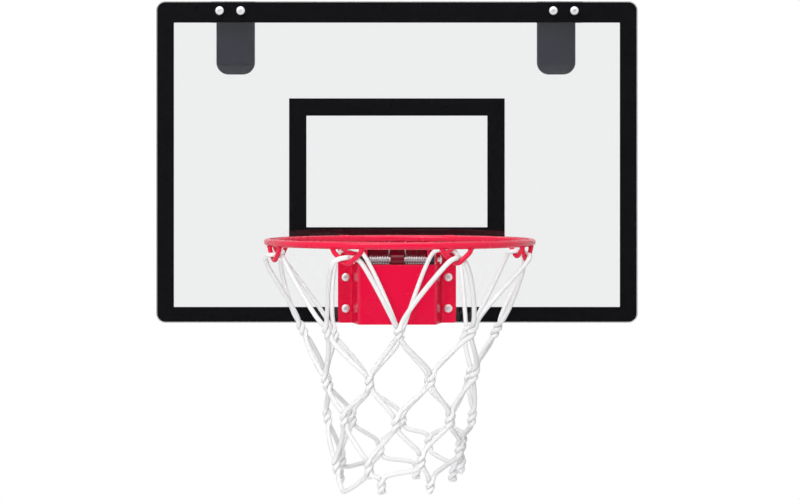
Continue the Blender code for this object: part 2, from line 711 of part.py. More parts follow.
def build_rim_plate(materials, parent):
    """The plate that carries the ring, as wide as the bracket, with its apron, cheeks and knuckle."""
    half = BRACKET_WIDTH / 2
    radius = RING_RADIUS + RING_ROD / 2 + GAP
    sweep = math.degrees(math.asin(half / radius))
    edge = arc((0, RING_Y), radius, 90 - sweep, 90 + sweep, PLATE_ARC_STEPS)
    outline = edge + [(-half, RIM_PLATE_REAR), (half, RIM_PLATE_REAR)]
    red = materials["red_metal"]
    plate = prism("rim_plate", "Z", outline, RIM_PLATE_BOTTOM, RIM_PLATE_TOP, red, parent)

    apron = bmesh.new()
    low = (-APRON_WIDTH / 2, APRON_FRONT, PIN_Z - APRON_BELOW_PIN)
    add_box(apron, low, (APRON_WIDTH / 2, APRON_BACK, RING_Z))
    apply_boolean(plate, apron, "UNION")

    web = arc((PIN_Y, PIN_Z), KNUCKLE_RADIUS, 180, 360, 2 * CORNER_STEPS)
    web_back = APRON_FRONT + STEEL / 2
    knuckle = [point for point in web if point[0] < web_back]
    knuckle += [(web_back, knuckle[-1][1]), (web_back, PIN_Z + KNUCKLE_RADIUS)]
    knuckle += arc((PIN_Y, PIN_Z), KNUCKLE_RADIUS, 90, 180, CORNER_STEPS)[:-1]
    shape = bmesh.new()
    add_prism(shape, "X", knuckle, -KNUCKLE_WIDTH / 2, KNUCKLE_WIDTH / 2)
    apply_boolean(plate, shape, "UNION")

    cheek = [point for point in web if point[0] < web_back]
    cheek += [(web_back, cheek[-1][1]), (web_back, RING_Z), (PIN_Y - KNUCKLE_RADIUS, RING_Z)]
    for sign in SIDES.values():
        shape = bmesh.new()
        low, high = sign * (CHEEK_PLACE - STEEL), sign * CHEEK_PLACE
        add_prism(shape, "X", cheek, low, high)
        apply_boolean(plate, shape, "UNION")

    bore = bmesh.new()
    outline = circle(PIN_HOLE_RADIUS, TURNED_SIDES, (PIN_Y, PIN_Z))
    add_prism(bore, "X", outline, -CHEEK_PLACE - OVERRUN, CHEEK_PLACE + OVERRUN)
    apply_boolean(plate, bore, "DIFFERENCE")


def hook_line():
    """Half of a hook's wire as (along the ring, height), from its lowest point to its upper end."""
    top = Vector((HOOK_WIDTH / 2, HOOK_TOP - HOOK_WIRE / 2))
    centre = Vector((0, HOOK_LOW + HOOK_BEND))
    away = top - centre
    lean = math.atan2(away.y, away.x) - math.acos(HOOK_BEND / away.length)
    bottom = arc(tuple(centre), HOOK_BEND, -90, math.degrees(lean), 2 * BEND_STEPS)
    return bottom + [tuple(top), (top.x, HOOK_TOP)]


def build_hook(number, materials, parent):
    """One wire hook under the ring, bent to a round-bottomed V."""
    turn = hook_turn(number)
    outward = Vector((math.sin(turn), -math.cos(turn), 0))
    along = Vector((math.cos(turn), math.sin(turn), 0))
    middle = Vector((0, RING_Y, 0)) + outward * RING_RADIUS
    half = hook_line()
    line = [(-t, z) for t, z in reversed(half[1:])] + half
    points = [middle + along * t + Vector((0, 0, z)) for t, z in line]
    name = f"net_hook_{number + 1}"
    wire(name, points, HOOK_WIRE, 1, materials["red_metal"], parent, HINGE_POINT)


def hook_turn(number):
    """The angle of a hook round the ring, counted from the front."""
    return math.tau * (number + 0.5) / HOOK_COUNT


def net_turn(row, number):
    """The angle of a knot round the net, with the row's own twist; odd rows sit under the hooks."""
    shift = 0.5 if row % 2 else 0.0
    return math.tau * (number + shift) / HOOK_COUNT + math.radians(NET_ROW_TWIST[row])


def net_drop(row, number):
    """How far a knot hangs below the ring: some rows slope, the rear sags, and one tip is drawn up."""
    turn = net_turn(row, number)
    slope = NET_ROW_SLOPE[row] * NET_ROW_RADIUS[row] * math.sin(turn)
    sag = NET_ROW_REAR_SAG[row] * ((1 - math.cos(turn)) / 2) ** 2
    short = row == len(NET_ROW_DROP) - 1 and number == SHORT_TIP_INDEX
    return NET_ROW_DROP[row] - slope + sag - (SHORT_TIP_RISE if short else 0.0)


def net_place(turn, radius, drop):
    """A point of the net from its angle, its radius and its drop below the ring."""
    return Vector((radius * math.sin(turn), RING_Y - radius * math.cos(turn), RING_Z - drop))


def sweep_cord(shape, points, start_way, end_way):
    """Add an open cord along points, square to these ways at its ends; returns its end corners."""
    radius = CORD / 2
    inner_ways = [(after - before).normalized() for before, after in zip(points, points[2:])]
    normal = start_way.orthogonal()
    rings = []
    for here, ahead in zip(points, [start_way, *inner_ways, end_way]):
        normal = (normal - ahead * normal.dot(ahead)).normalized()
        across = ahead.cross(normal)
        corners = circle(radius, CORD_SIDES)
        rings.append([shape.verts.new(here + normal * u + across * v) for u, v in corners])
    for here, after in zip(rings, rings[1:]):
        for side in range(CORD_SIDES):
            beside = (side + 1) % CORD_SIDES
            shape.faces.new((here[side], here[beside], after[beside], after[side]))
    return rings[0], rings[-1]


def bow(start, start_way, end, end_way, steps):
    """A smooth line from one point and direction to another."""
    reach = (end - start).length
    points = []
    for step in range(steps + 1):
        t = step / steps
        a = 2 * t**3 - 3 * t**2 + 1
        b = t**3 - 2 * t**2 + t
        c = -2 * t**3 + 3 * t**2
        d = t**3 - t**2
        points.append(start * a + start_way * (reach * b) + end * c + end_way * (reach * d))
    return points


def wrap_knot(shape, mouths, blind=()):
    """Close a knot round the cords that enter it; a blind mouth is the end of a tail."""
    hull = bmesh.new()
    origin = {}
    for number, corners in enumerate([*mouths, *blind]):
        for corner in corners:
            origin[hull.verts.new(corner.co)] = (corner, number)
    bmesh.ops.convex_hull(hull, input=hull.verts)
    for face in hull.faces:
        owners = {origin[vertex][1] for vertex in face.verts}
        if len(owners) > 1 or owners.pop() >= len(mouths):
            shape.faces.new([origin[vertex][0] for vertex in face.verts])
    hull.free()


class Knot:
    """One knot: where its cords enter it, in which direction, and the ends found there."""

    def __init__(self, row, number):
        last = len(NET_ROW_DROP) - 1
        turn = net_turn(row, number)
        self.place = net_place(turn, NET_ROW_RADIUS[row], net_drop(row, number))
        above = (RING_RADIUS, HOOK_DEPTH) if row == 0 else (NET_ROW_RADIUS[row - 1], NET_ROW_DROP[row - 1])
        below = min(row + 1, last)
        rise = net_place(turn, *above) - net_place(turn, NET_ROW_RADIUS[below], NET_ROW_DROP[below])
        self.up = rise.normalized()
        self.along = Vector((math.cos(turn), math.sin(turn), 0))
        self.spread = (CORD + KNOT_STRAND_GAP) / 2
        self.mouths = []

    def mouth(self, vertical, sideways):
        """A mouth's place: vertical +1 is above the knot, sideways +1 is its right."""
        half = KNOT_LENGTH / 2
        return self.place + self.up * (vertical * half) + self.along * (sideways * self.spread)

    def way(self, vertical, sideways):
        """The direction in which a cord leaves that mouth."""
        lean = math.sin(KNOT_LEAN) * sideways
        return self.up * (vertical * math.cos(KNOT_LEAN)) + self.along * lean


def hook_saddle(number):
    """The cord's arch over a hook, from left to right, crossing the wire square to the ring."""
    turn = hook_turn(number)
    outward = Vector((math.sin(turn), -math.cos(turn), 0))
    if number == REVERSED_HOOK:
        outward = -outward
    along = Vector((math.cos(turn), math.sin(turn), 0))
    down = Vector((0, 0, -1))
    top = net_place(turn, RING_RADIUS, RING_Z - HOOK_LOW) - down * ((HOOK_WIRE + CORD) / 2 + SADDLE_GAP)
    aside, out, fall = SADDLE_REACH
    left = top - along * aside + outward * out + down * fall
    right = top + along * aside - outward * out + down * fall
    aside, out, fall = SADDLE_LEAVE
    leave = (along * aside - outward * out + down * fall).normalized()
    arrive = (along * aside - outward * out - down * fall).normalized()
    climb = bow(left, arrive, top, -outward, SADDLE_STEPS)
    return climb + bow(top, -outward, right, leave, SADDLE_STEPS)[1:]


def build_net(materials, parent):
    """The knotted net: loops over the hooks, rows of diamond cells, and tails below."""
    shape = bmesh.new()
    rows = [[Knot(row, number) for number in range(HOOK_COUNT)] for row in range(len(NET_ROW_DROP))]
    down = Vector((0, 0, -1))

    for number in range(HOOK_COUNT):
        left = rows[0][number]
        right = rows[0][(number + 1) % HOOK_COUNT]
        saddle = hook_saddle(number)
        start, end = left.mouth(1, 1), right.mouth(1, -1)
        start_way, end_way = left.way(1, 1), -right.way(1, -1)
        rise = bow(start, start_way, saddle[0], (saddle[1] - saddle[0]).normalized(), CORD_STEPS)
        fall = bow(saddle[-1], (saddle[-1] - saddle[-2]).normalized(), end, end_way, CORD_STEPS)
        first, last = sweep_cord(shape, rise + saddle[1:-1] + fall, start_way, end_way)
        left.mouths.append(first)
        right.mouths.append(last)

    for row in range(len(rows) - 1):
        lowest = row == len(rows) - 2
        for number, upper in enumerate(rows[row]):
            for sideways in (-1, 1):
                step = (0 if sideways > 0 else -1) if row % 2 == 0 else (1 if sideways > 0 else 0)
                below = (number + step) % HOOK_COUNT
                if lowest and below == OPEN_TIP_INDEX:
                    continue
                lower = rows[row + 1][below]
                start, end = upper.mouth(-1, sideways), lower.mouth(1, -sideways)
                start_way, end_way = upper.way(-1, sideways), -lower.way(1, -sideways)
                points = bow(start, start_way, end, end_way, CORD_STEPS)
                first, last = sweep_cord(shape, points, start_way, end_way)
                upper.mouths.append(first)
                lower.mouths.append(last)

    lowest = rows[-2]
    tip = rows[-1][OPEN_TIP_INDEX]
    left, right = lowest[OPEN_TIP_INDEX - 1], lowest[OPEN_TIP_INDEX]
    start, end = left.mouth(-1, 1), right.mouth(-1, -1)
    bottom = tip.place + down * OPEN_TIP_DEPTH
    start_way, end_way = left.way(-1, 1), -right.way(-1, -1)
    points = bow(start, start_way, bottom, tip.along, TIP_STEPS)
    points += bow(bottom, tip.along, end, end_way, TIP_STEPS)[1:]
    first, last = sweep_cord(shape, points, start_way, end_way)
    left.mouths.append(first)
    right.mouths.append(last)

    for row in rows[:-1]:
        for knot in row:
            wrap_knot(shape, knot.mouths)
    for number, knot in enumerate(rows[-1]):
        if number == OPEN_TIP_INDEX:
            continue
        end = knot.mouth(1, 0) + down * TAIL_LENGTH
        outward = knot.along.cross(down)
        corners = circle(TAIL_END_DIAMETER / 2, CORD_SIDES)
        tail = [shape.verts.new(end + knot.along * u + outward * v) for u, v in corners]
        wrap_knot(shape, knot.mouths, [tail])
    make_object("net", shape, materials["white_cord"], parent)


def make_materials():
    """Every finish of the hoop."""
    return {
        "clear": make_material("clear_sheet", (0.93, 0.95, 0.96), 0.05, alpha=0.2),
        "black_print": make_material("black_print", (0.006, 0.006, 0.008), 0.25),
        "black_metal": make_material("black_metal", (0.02, 0.022, 0.03), 0.4, metallic=0.3),
        "foam": make_material("foam", (0.03, 0.032, 0.042), 0.9),
        "red_metal": make_material("red_metal", (0.66, 0.01, 0.04), 0.3),
        "zinc": make_material("zinc", (0.72, 0.72, 0.74), 0.3, metallic=1.0),
        "spring_steel": make_material("spring_steel", (0.6, 0.58, 0.6), 0.3, metallic=1.0),
        "plastic": make_material("plastic", (0.03, 0.03, 0.03), 0.5),
        "white_cord": make_material("white_cord", (0.85, 0.85, 0.87), 0.8),
    }


def build_hoop():
    """All pieces of the hoop, in their three bodies."""
    for leftover in list(bpy.data.objects):
        bpy.data.objects.remove(leftover, do_unlink=True)
    materials = make_materials()
    board = make_empty("backboard_body", Vector((0, 0, 0)))
    rim = make_empty("rim_body", HINGE_POINT)
    net = make_empty("net_body", NET_POINT)

    build_board(materials, board)
    build_prints(materials, board)
    for side, middle in hanger_places().items():
        build_hanger(side, middle, materials, board)
        build_pads(side, middle, materials, board)
    for side, sign in SIDES.items():
        build_bumper(side, sign, materials, board)
        build_bush(side, sign, materials, board)
        build_spring(side, sign, materials, board)
    build_fasteners(materials, board)
    build_bracket(materials, board)
    build_pin(materials, board)

    build_ring(materials, rim)
    build_rim_plate(materials, rim)
    for number in range(HOOK_COUNT):
        build_hook(number, materials, rim)
    build_net(materials, net)


build_hoop()
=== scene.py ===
"""Looks of an over-the-door basketball hoop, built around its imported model.

Every place is in metres, in the model's own frame: +X to the right for someone facing the hoop,
+Y back through the door, +Z up, with the origin on the door's top front edge.
"""

from __future__ import annotations

import json
import logging
import math
from dataclasses import dataclass, field
from enum import Enum
from functools import reduce
from typing import Any, Callable, Sequence

import bmesh
import bpy
from bmesh.types import BMesh, BMVert
from bpy.types import Material, Mesh, Node, NodeSocket, NodeTree, Object
from mathutils import Matrix, Vector
from mathutils.noise import noise_vector, seed_set

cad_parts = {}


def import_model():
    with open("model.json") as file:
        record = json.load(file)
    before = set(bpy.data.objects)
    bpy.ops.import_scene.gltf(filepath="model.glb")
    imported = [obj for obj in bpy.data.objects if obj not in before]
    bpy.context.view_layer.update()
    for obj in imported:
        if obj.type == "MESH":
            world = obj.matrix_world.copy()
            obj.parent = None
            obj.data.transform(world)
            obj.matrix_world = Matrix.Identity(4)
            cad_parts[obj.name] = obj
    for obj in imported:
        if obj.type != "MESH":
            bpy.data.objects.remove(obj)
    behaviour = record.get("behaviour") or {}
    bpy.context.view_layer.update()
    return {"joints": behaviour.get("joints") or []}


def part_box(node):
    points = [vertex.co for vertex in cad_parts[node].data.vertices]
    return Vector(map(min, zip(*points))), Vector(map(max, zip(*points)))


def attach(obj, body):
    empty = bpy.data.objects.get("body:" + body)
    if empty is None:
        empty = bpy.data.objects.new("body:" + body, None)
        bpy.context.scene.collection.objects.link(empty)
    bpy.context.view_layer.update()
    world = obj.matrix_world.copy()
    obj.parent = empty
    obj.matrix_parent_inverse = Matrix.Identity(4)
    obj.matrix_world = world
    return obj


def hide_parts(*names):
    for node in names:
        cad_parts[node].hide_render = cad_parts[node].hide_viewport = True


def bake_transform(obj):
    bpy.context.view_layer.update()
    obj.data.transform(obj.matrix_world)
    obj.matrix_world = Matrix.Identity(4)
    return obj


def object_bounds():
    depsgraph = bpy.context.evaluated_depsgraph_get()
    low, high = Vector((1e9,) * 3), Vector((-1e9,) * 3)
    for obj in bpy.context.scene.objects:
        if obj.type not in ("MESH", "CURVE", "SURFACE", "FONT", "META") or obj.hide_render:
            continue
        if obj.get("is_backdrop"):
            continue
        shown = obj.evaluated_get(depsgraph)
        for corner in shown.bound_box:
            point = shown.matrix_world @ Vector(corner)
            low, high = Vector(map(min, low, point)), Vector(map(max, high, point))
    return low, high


LOG = logging.getLogger("hoop")

MM = 0.001
Pair = tuple[float, float]
Colour = tuple[float, float, float]

# Names of the attributes that the materials read from the meshes
EDGE = "edge"
ALONG = "along"

# Edges that turn by these angles, in degrees, begin to wear and wear fully
WEAR_FROM = 14.0
WEAR_TO = 28.0
SHARP = math.radians(40)

DOWN = Vector((0, 0, -1))
WHITE: Colour = (1.0, 1.0, 1.0)


class Side(Enum):
    """Left and right for someone facing the hoop, with the sign of their X."""

    LEFT = -1
    RIGHT = 1

    def node(self, kind: str) -> str:
        """Name of the model's node of one kind on this side."""
        return f"{kind}_{self.name.lower()}"


class Axis(Enum):
    """The axis that a flat or turned shape is drawn along, with the order of its coordinates."""

    X = (2, 0, 1)
    Y = (0, 2, 1)
    Z = (0, 1, 2)

    def point(self, *place: float) -> Vector:
        """The point at (u, v, w): u and v across the axis, w along it."""
        return Vector([place[number] for number in self.value])


class Gloss(Enum):
    """How a coat of powder paint flows out when it is baked, with the limits of its roughness."""

    SATIN = (0.38, 0.52)
    BRIGHT = (0.2, 0.3)


# The model's own places


def centre_of(node: str) -> Vector:
    """Middle of a model node's box."""
    low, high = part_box(node)
    return (low + high) / 2


def size_of(node: str) -> Vector:
    """Size of a model node's box."""
    low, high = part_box(node)
    return high - low


def numbered(kind: str) -> list[str]:
    """Names of the model's four nodes of one kind."""
    return [f"{kind}_{number}" for number in range(1, 5)]


# Outlines and lines


def arc(centre: Pair, radius: float, start: float, end: float, steps: int) -> list[Pair]:
    """Points on an arc, with both of its ends.

    Args:
        centre: Middle of the arc.
        radius: Its radius.
        start: Angle of its first point, in degrees.
        end: Angle of its last point, in degrees.
        steps: Number of equal steps between them.

    Returns:
        The points in order.
    """
    angles = [math.radians(start + (end - start) * step / steps) for step in range(steps + 1)]
    return [(centre[0] + radius * math.cos(a), centre[1] + radius * math.sin(a)) for a in angles]


def circle(radius: float, count: int, centre: Pair = (0.0, 0.0)) -> list[Pair]:
    """Corners of a regular polygon, counter-clockwise."""
    return arc(centre, radius, 0, 360, count)[:-1]


def fillet(corners: Sequence[Pair], radii: Sequence[float], steps: int = 6) -> list[Pair]:
    """A closed outline with each corner rounded by its own radius.

    Args:
        corners: The sharp corners in order.
        radii: One radius for each corner; 0 keeps it sharp.
        steps: Steps on each round corner.

    Returns:
        The rounded outline.
    """
    rounded: list[Pair] = []
    befores, afters = [corners[-1], *corners], [*corners[1:], corners[0]]
    for before, here, after, radius in zip(befores, corners, afters, radii):
        if radius <= 0:
            rounded.append(here)
            continue
        corner = Vector(here)
        back = (Vector(before) - corner).normalized()
        ahead = (Vector(after) - corner).normalized()
        half = back.angle(ahead) / 2
        centre = corner + (back + ahead).normalized() * (radius / math.sin(half))
        start = corner + back * (radius / math.tan(half)) - centre
        end = corner + ahead * (radius / math.tan(half)) - centre
        sweep = math.atan2(start.cross(end), start.dot(end))
        spins = [Matrix.Rotation(sweep * step / steps, 2) for step in range(steps + 1)]
        rounded += [tuple(centre + spin @ start) for spin in spins]
    return rounded


def rounded_box(low: Pair, high: Pair, radii: float | Sequence[float], steps: int = 8) -> list[Pair]:
    """A rectangle with round corners.

    Args:
        low: Its lower left corner.
        high: Its upper right corner.
        radii: Radius of its corners, or one for each, counter-clockwise from the lower left.
        steps: Steps on each round corner.

    Returns:
        The outline, counter-clockwise.
    """
    corners = [low, (high[0], low[1]), high, (low[0], high[1])]
    return fillet(corners, [radii] * 4 if isinstance(radii, float) else radii, steps)


def front_of(
    node: str, radii: float | Sequence[float], steps: int = 8, back: Sequence[float] = (0.0, 0.0, 0.0, 0.0),
) -> list[Pair]:
    """Outline of a model node's box from the front, with round corners.

    Args:
        node: The node.
        radii: Radius of its corners, or one for each, counter-clockwise from the lower left.
        steps: Steps on each round corner.
        back: How far its left, lower, right and upper sides are drawn in.

    Returns:
        The outline, counter-clockwise.
    """
    low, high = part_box(node)
    left, bottom, right, top = back
    return rounded_box((low.x + left, low.z + bottom), (high.x - right, high.z - top), radii, steps)


def moved(line: Sequence[Pair], distance: float, closed: bool = True) -> list[Vector]:
    """A line moved to its left, with mitred corners.

    Args:
        line: Its points; a closed one that runs counter-clockwise has its inside on its left.
        distance: How far it moves.
        closed: Whether it closes on itself.

    Returns:
        The moved points, as many as before.
    """
    points = [Vector(point) for point in line]
    ways = [(after - here).normalized() for here, after in zip(points, points[1:] + points[:1])]
    if not closed:
        ways[-1] = ways[-2]
    result = []
    for point, first, second in zip(points, [ways[-1] if closed else ways[0], *ways], ways):
        left = Vector((-first.y, first.x))
        middle = (left + Vector((-second.y, second.x))).normalized()
        result.append(point + middle * (distance / max(middle.dot(left), 0.3)))
    return result


def bow(start: Vector, leave: Vector, end: Vector, arrive: Vector, steps: int) -> list[Vector]:
    """A smooth line between two points.

    Args:
        start: Its first point.
        leave: Its direction there, whose length says how strongly it holds.
        end: Its last point.
        arrive: Its direction there.
        steps: Number of steps.

    Returns:
        The points, both ends included.
    """
    points = []
    for step in range(steps + 1):
        t = step / steps
        weights = (2 * t**3 - 3 * t**2 + 1, t**3 - 2 * t**2 + t, 3 * t**2 - 2 * t**3, t**3 - t**2)
        points.append(start * weights[0] + leave * weights[1] + end * weights[2] + arrive * weights[3])
    return points


class BentLine:
    """The middle line of a bent sheet, seen from the sheet's edge: straight runs and round bends."""

    def __init__(self, corners: Sequence[Vector], radius: float) -> None:
        """Work out the runs.

        Args:
            corners: The sharp line's points in order.
            radius: The bends' radius at the middle of the sheet.
        """
        self.runs: list[tuple[float, float, Vector, Vector, float]] = []
        self.bends: list[Pair] = []
        self.length = 0.0
        place = corners[0]
        ways = [(after - before).normalized() for before, after in zip(corners, corners[1:])]
        for way, after, corner in zip(ways, [*ways[1:], ways[-1]], corners[1:]):
            turn = math.atan2(way.cross(after), way.dot(after))
            straight = (corner - place).dot(way) - radius * math.tan(abs(turn) / 2)
            self.add_run(straight, place, way, 0.0)
            place = place + way * straight
            if turn:
                self.bends.append((self.length, self.length + radius * abs(turn)))
                self.add_run(radius * abs(turn), place, way, math.copysign(1 / radius, turn))
                place = self.at(self.length)[0]

    def add_run(self, length: float, place: Vector, way: Vector, curl: float) -> None:
        """Add one run: its length, start, direction and signed curvature."""
        self.runs.append((self.length, length, place, way, curl))
        self.length += length

    def at(self, along: float) -> tuple[Vector, Vector]:
        """The point and direction at a distance along the line.

        Args:
            along: The distance, in metres.

        Returns:
            The point and the direction.
        """
        reached = (run for run in self.runs if along <= run[0] + run[1])
        start, _, place, way, curl = next(reached, self.runs[-1])
        gone = along - start
        if not curl:
            return place + way * gone, way
        spin = Matrix.Rotation(gone * curl, 2)
        centre = place + Vector((-way.y, way.x)) / curl
        return centre + spin @ (place - centre), spin @ way


# Meshes


def bridge(shape: BMesh, rings: Sequence[Sequence[BMVert]], closed: bool = False) -> None:
    """Join rings of vertices, each to the next.

    Args:
        shape: Mesh to add to.
        rings: The rings; one of a single vertex is a pole.
        closed: Whether the last one joins the first.
    """
    for lower, upper in zip(rings, [*rings[1:], rings[0]] if closed else rings[1:]):
        sides = max(len(lower), len(upper))
        for step in range(sides):
            after = (step + 1) % sides
            corners = [lower[step % len(lower)], lower[after % len(lower)]]
            corners += [upper[after % len(upper)], upper[step % len(upper)]]
            shape.faces.new(list(dict.fromkeys(corners)))


def add_ring(
    shape: BMesh, axis: Axis, radius: float, along: float, sides: int, centre: Pair = (0.0, 0.0),
) -> list[BMVert]:
    """Add a ring of vertices round an axis.

    Args:
        shape: Mesh to add to.
        axis: The axis.
        radius: The ring's radius; 0 gives a single vertex.
        along: Its place along the axis.
        sides: Number of vertices.
        centre: Where the axis runs.

    Returns:
        The vertices.
    """
    corners = circle(radius, sides, centre) if radius else [centre]
    return [shape.verts.new(axis.point(u, v, along)) for u, v in corners]


def turned(
    axis: Axis, profile: Sequence[Pair], sides: int, centre: Pair = (0.0, 0.0), closed: bool = False,
) -> BMesh:
    """A turned body.

    Args:
        axis: Axis that it is turned about.
        profile: (radius, place along the axis) pairs; a radius of 0 is a pole.
        sides: Number of sides.
        centre: Where the axis runs.
        closed: Whether the profile closes on itself, as that of a bored body does.

    Returns:
        Its mesh.
    """
    shape = bmesh.new()
    rings = [add_ring(shape, axis, radius, along, sides, centre) for radius, along in profile]
    bridge(shape, rings, closed)
    return shape


def plate(
    axis: Axis, outline: Sequence[Pair], low: float, high: float, edge: float,
    holes: Sequence[Sequence[Pair]] = (), steps: int = 3, shape: BMesh | None = None,
) -> BMesh:
    """A flat plate whose edges are rounded all round, also in its holes.

    Args:
        axis: Axis that the plate is square to.
        outline: Its outline, counter-clockwise.
        low: Its lower face along the axis.
        high: Its upper face.
        edge: Radius of its edges.
        holes: Outlines of its holes, counter-clockwise.
        steps: Steps on each rounded edge.
        shape: Mesh that it is added to, if not a new one.

    Returns:
        The mesh.
    """
    shape = bmesh.new() if shape is None else shape
    thetas = [math.pi / 2 * step / steps for step in range(steps + 1)]
    layers = [(low + edge * (1 - math.cos(t)), edge * (1 - math.sin(t))) for t in thetas]
    layers += [(low + high - along, back) for along, back in reversed(layers)]
    rims: list[list[list[BMVert]]] = []
    for along, back in layers:
        loops = [moved(outline, back)] + [moved(hole, -back) for hole in holes]
        rims.append([[shape.verts.new(axis.point(u, v, along)) for u, v in loop] for loop in loops])
    for rings in zip(*rims):
        bridge(shape, rings)
    for rim in (rims[0], rims[-1]):
        edges = [shape.edges.get((a, b)) for loop in rim for a, b in zip(loop, loop[1:] + loop[:1])]
        bmesh.ops.triangle_fill(shape, use_beauty=True, edges=edges)
    return shape


def press(
    shape: BMesh, line: BentLine, to_space: Callable[[float, float, float], Vector], steps: int = 8,
) -> None:
    """Bend a flat blank to a line, as a press does.

    Args:
        shape: The blank: x along the line, y across it, z through the sheet from its middle.
        line: The sheet's middle line.
        to_space: Gives a point from its two coordinates in the line's plane and its place across.
        steps: Cuts in each bend.
    """
    for low, high in line.bends:
        for step in range(steps + 1):
            place = Vector((low + (high - low) * step / steps, 0, 0))
            parts = [*shape.verts, *shape.edges, *shape.faces]
            bmesh.ops.bisect_plane(shape, geom=parts, dist=1e-7, plane_co=place, plane_no=(1, 0, 0))
    for vertex in shape.verts:
        middle, way = line.at(vertex.co.x)
        flat = middle + Vector((-way.y, way.x)) * vertex.co.z
        vertex.co = to_space(flat.x, flat.y, vertex.co.y)


def turn_outward(shape: BMesh) -> None:
    """Point the faces of every closed island of a mesh outwards.

    Args:
        shape: The mesh.
    """
    bmesh.ops.recalc_face_normals(shape, faces=shape.faces)
    waiting = set(shape.faces)
    while waiting:
        island = [waiting.pop()]
        for face in island:
            beside = {other for line in face.edges for other in line.link_faces} & waiting
            waiting -= beside
            island += sorted(beside, key=lambda other: other.index)
        if sum(face.calc_area() * face.normal.dot(face.calc_center_median()) for face in island) < 0:
            bmesh.ops.reverse_faces(shape, faces=island)


def add_object(name: str, data: Any) -> Object:
    """An object in the scene with the given data.

    Args:
        name: Its name.
        data: Its mesh, curve, light or camera.

    Returns:
        The object.
    """
    thing = bpy.data.objects.new(name, data)
    bpy.context.collection.objects.link(thing)
    return thing


def evaluated_mesh(thing: Object) -> Mesh:
    """The plain mesh that an object's modifiers make.

    Args:
        thing: The object.

    Returns:
        A new mesh.
    """
    graph = bpy.context.evaluated_depsgraph_get()
    made = thing.evaluated_get(graph)
    return bpy.data.meshes.new_from_object(made, preserve_all_data_layers=True, depsgraph=graph)


def bake(piece: Object) -> None:
    """Put the result of a piece's modifiers into its mesh.

    Args:
        piece: The piece.
    """
    made = evaluated_mesh(piece)
    piece.modifiers.clear()
    piece.data = made


def make_piece(name: str, shape: BMesh, material: Material | None = None) -> Object:
    """Turn a mesh into a finished object, with its sharp edges marked for wear.

    Args:
        name: The piece's name.
        shape: Its mesh, which is freed.
        material: Its finish.

    Returns:
        The object, at the origin.
    """
    turn_outward(shape)
    layer = shape.verts.layers.float.new(EDGE)
    for line in shape.edges:
        if len(line.link_faces) != 2:
            continue
        turn = math.degrees(line.calc_face_angle(0.0))
        sharp = min(max((turn - WEAR_FROM) / (WEAR_TO - WEAR_FROM), 0.0), 1.0)
        for vertex in line.verts:
            vertex[layer] = max(vertex[layer], sharp)
    mesh = bpy.data.meshes.new(name)
    shape.to_mesh(mesh)
    shape.free()
    mesh.shade_smooth()
    mesh.set_sharp_from_angle(angle=SHARP)
    if material:
        mesh.materials.append(material)
    return add_object(name, mesh)


def cut(piece: Object, shape: BMesh, operation: str = "DIFFERENCE") -> None:
    """Take a tool's shape out of a piece, or keep only what lies inside it.

    Args:
        piece: The piece that is cut.
        shape: The tool, which is freed.
        operation: DIFFERENCE, or INTERSECT to keep the inside.
    """
    tool = make_piece(piece.name + "_tool", shape)
    modifier = piece.modifiers.new("cut", "BOOLEAN")
    modifier.operation = operation
    modifier.solver = "EXACT"
    modifier.object = tool
    bake(piece)
    bpy.data.objects.remove(tool, do_unlink=True)


def make_lines(name: str, lines: Sequence[Sequence[Vector]], closed: bool = False) -> Object:
    """A curve object of straight-stepped lines, for the trees that sweep it.

    Args:
        name: The object's name.
        lines: Points of each line.
        closed: Whether each line closes on itself.

    Returns:
        The curve object.
    """
    curve = bpy.data.curves.new(name, "CURVE")
    curve.dimensions = "3D"
    for points in lines:
        spline = curve.splines.new("POLY")
        spline.points.add(len(points) - 1)
        spline.use_cyclic_u = closed
        for knot, place in zip(spline.points, points):
            knot.co = (*place, 1.0)
    return add_object(name, curve)


# Node trees


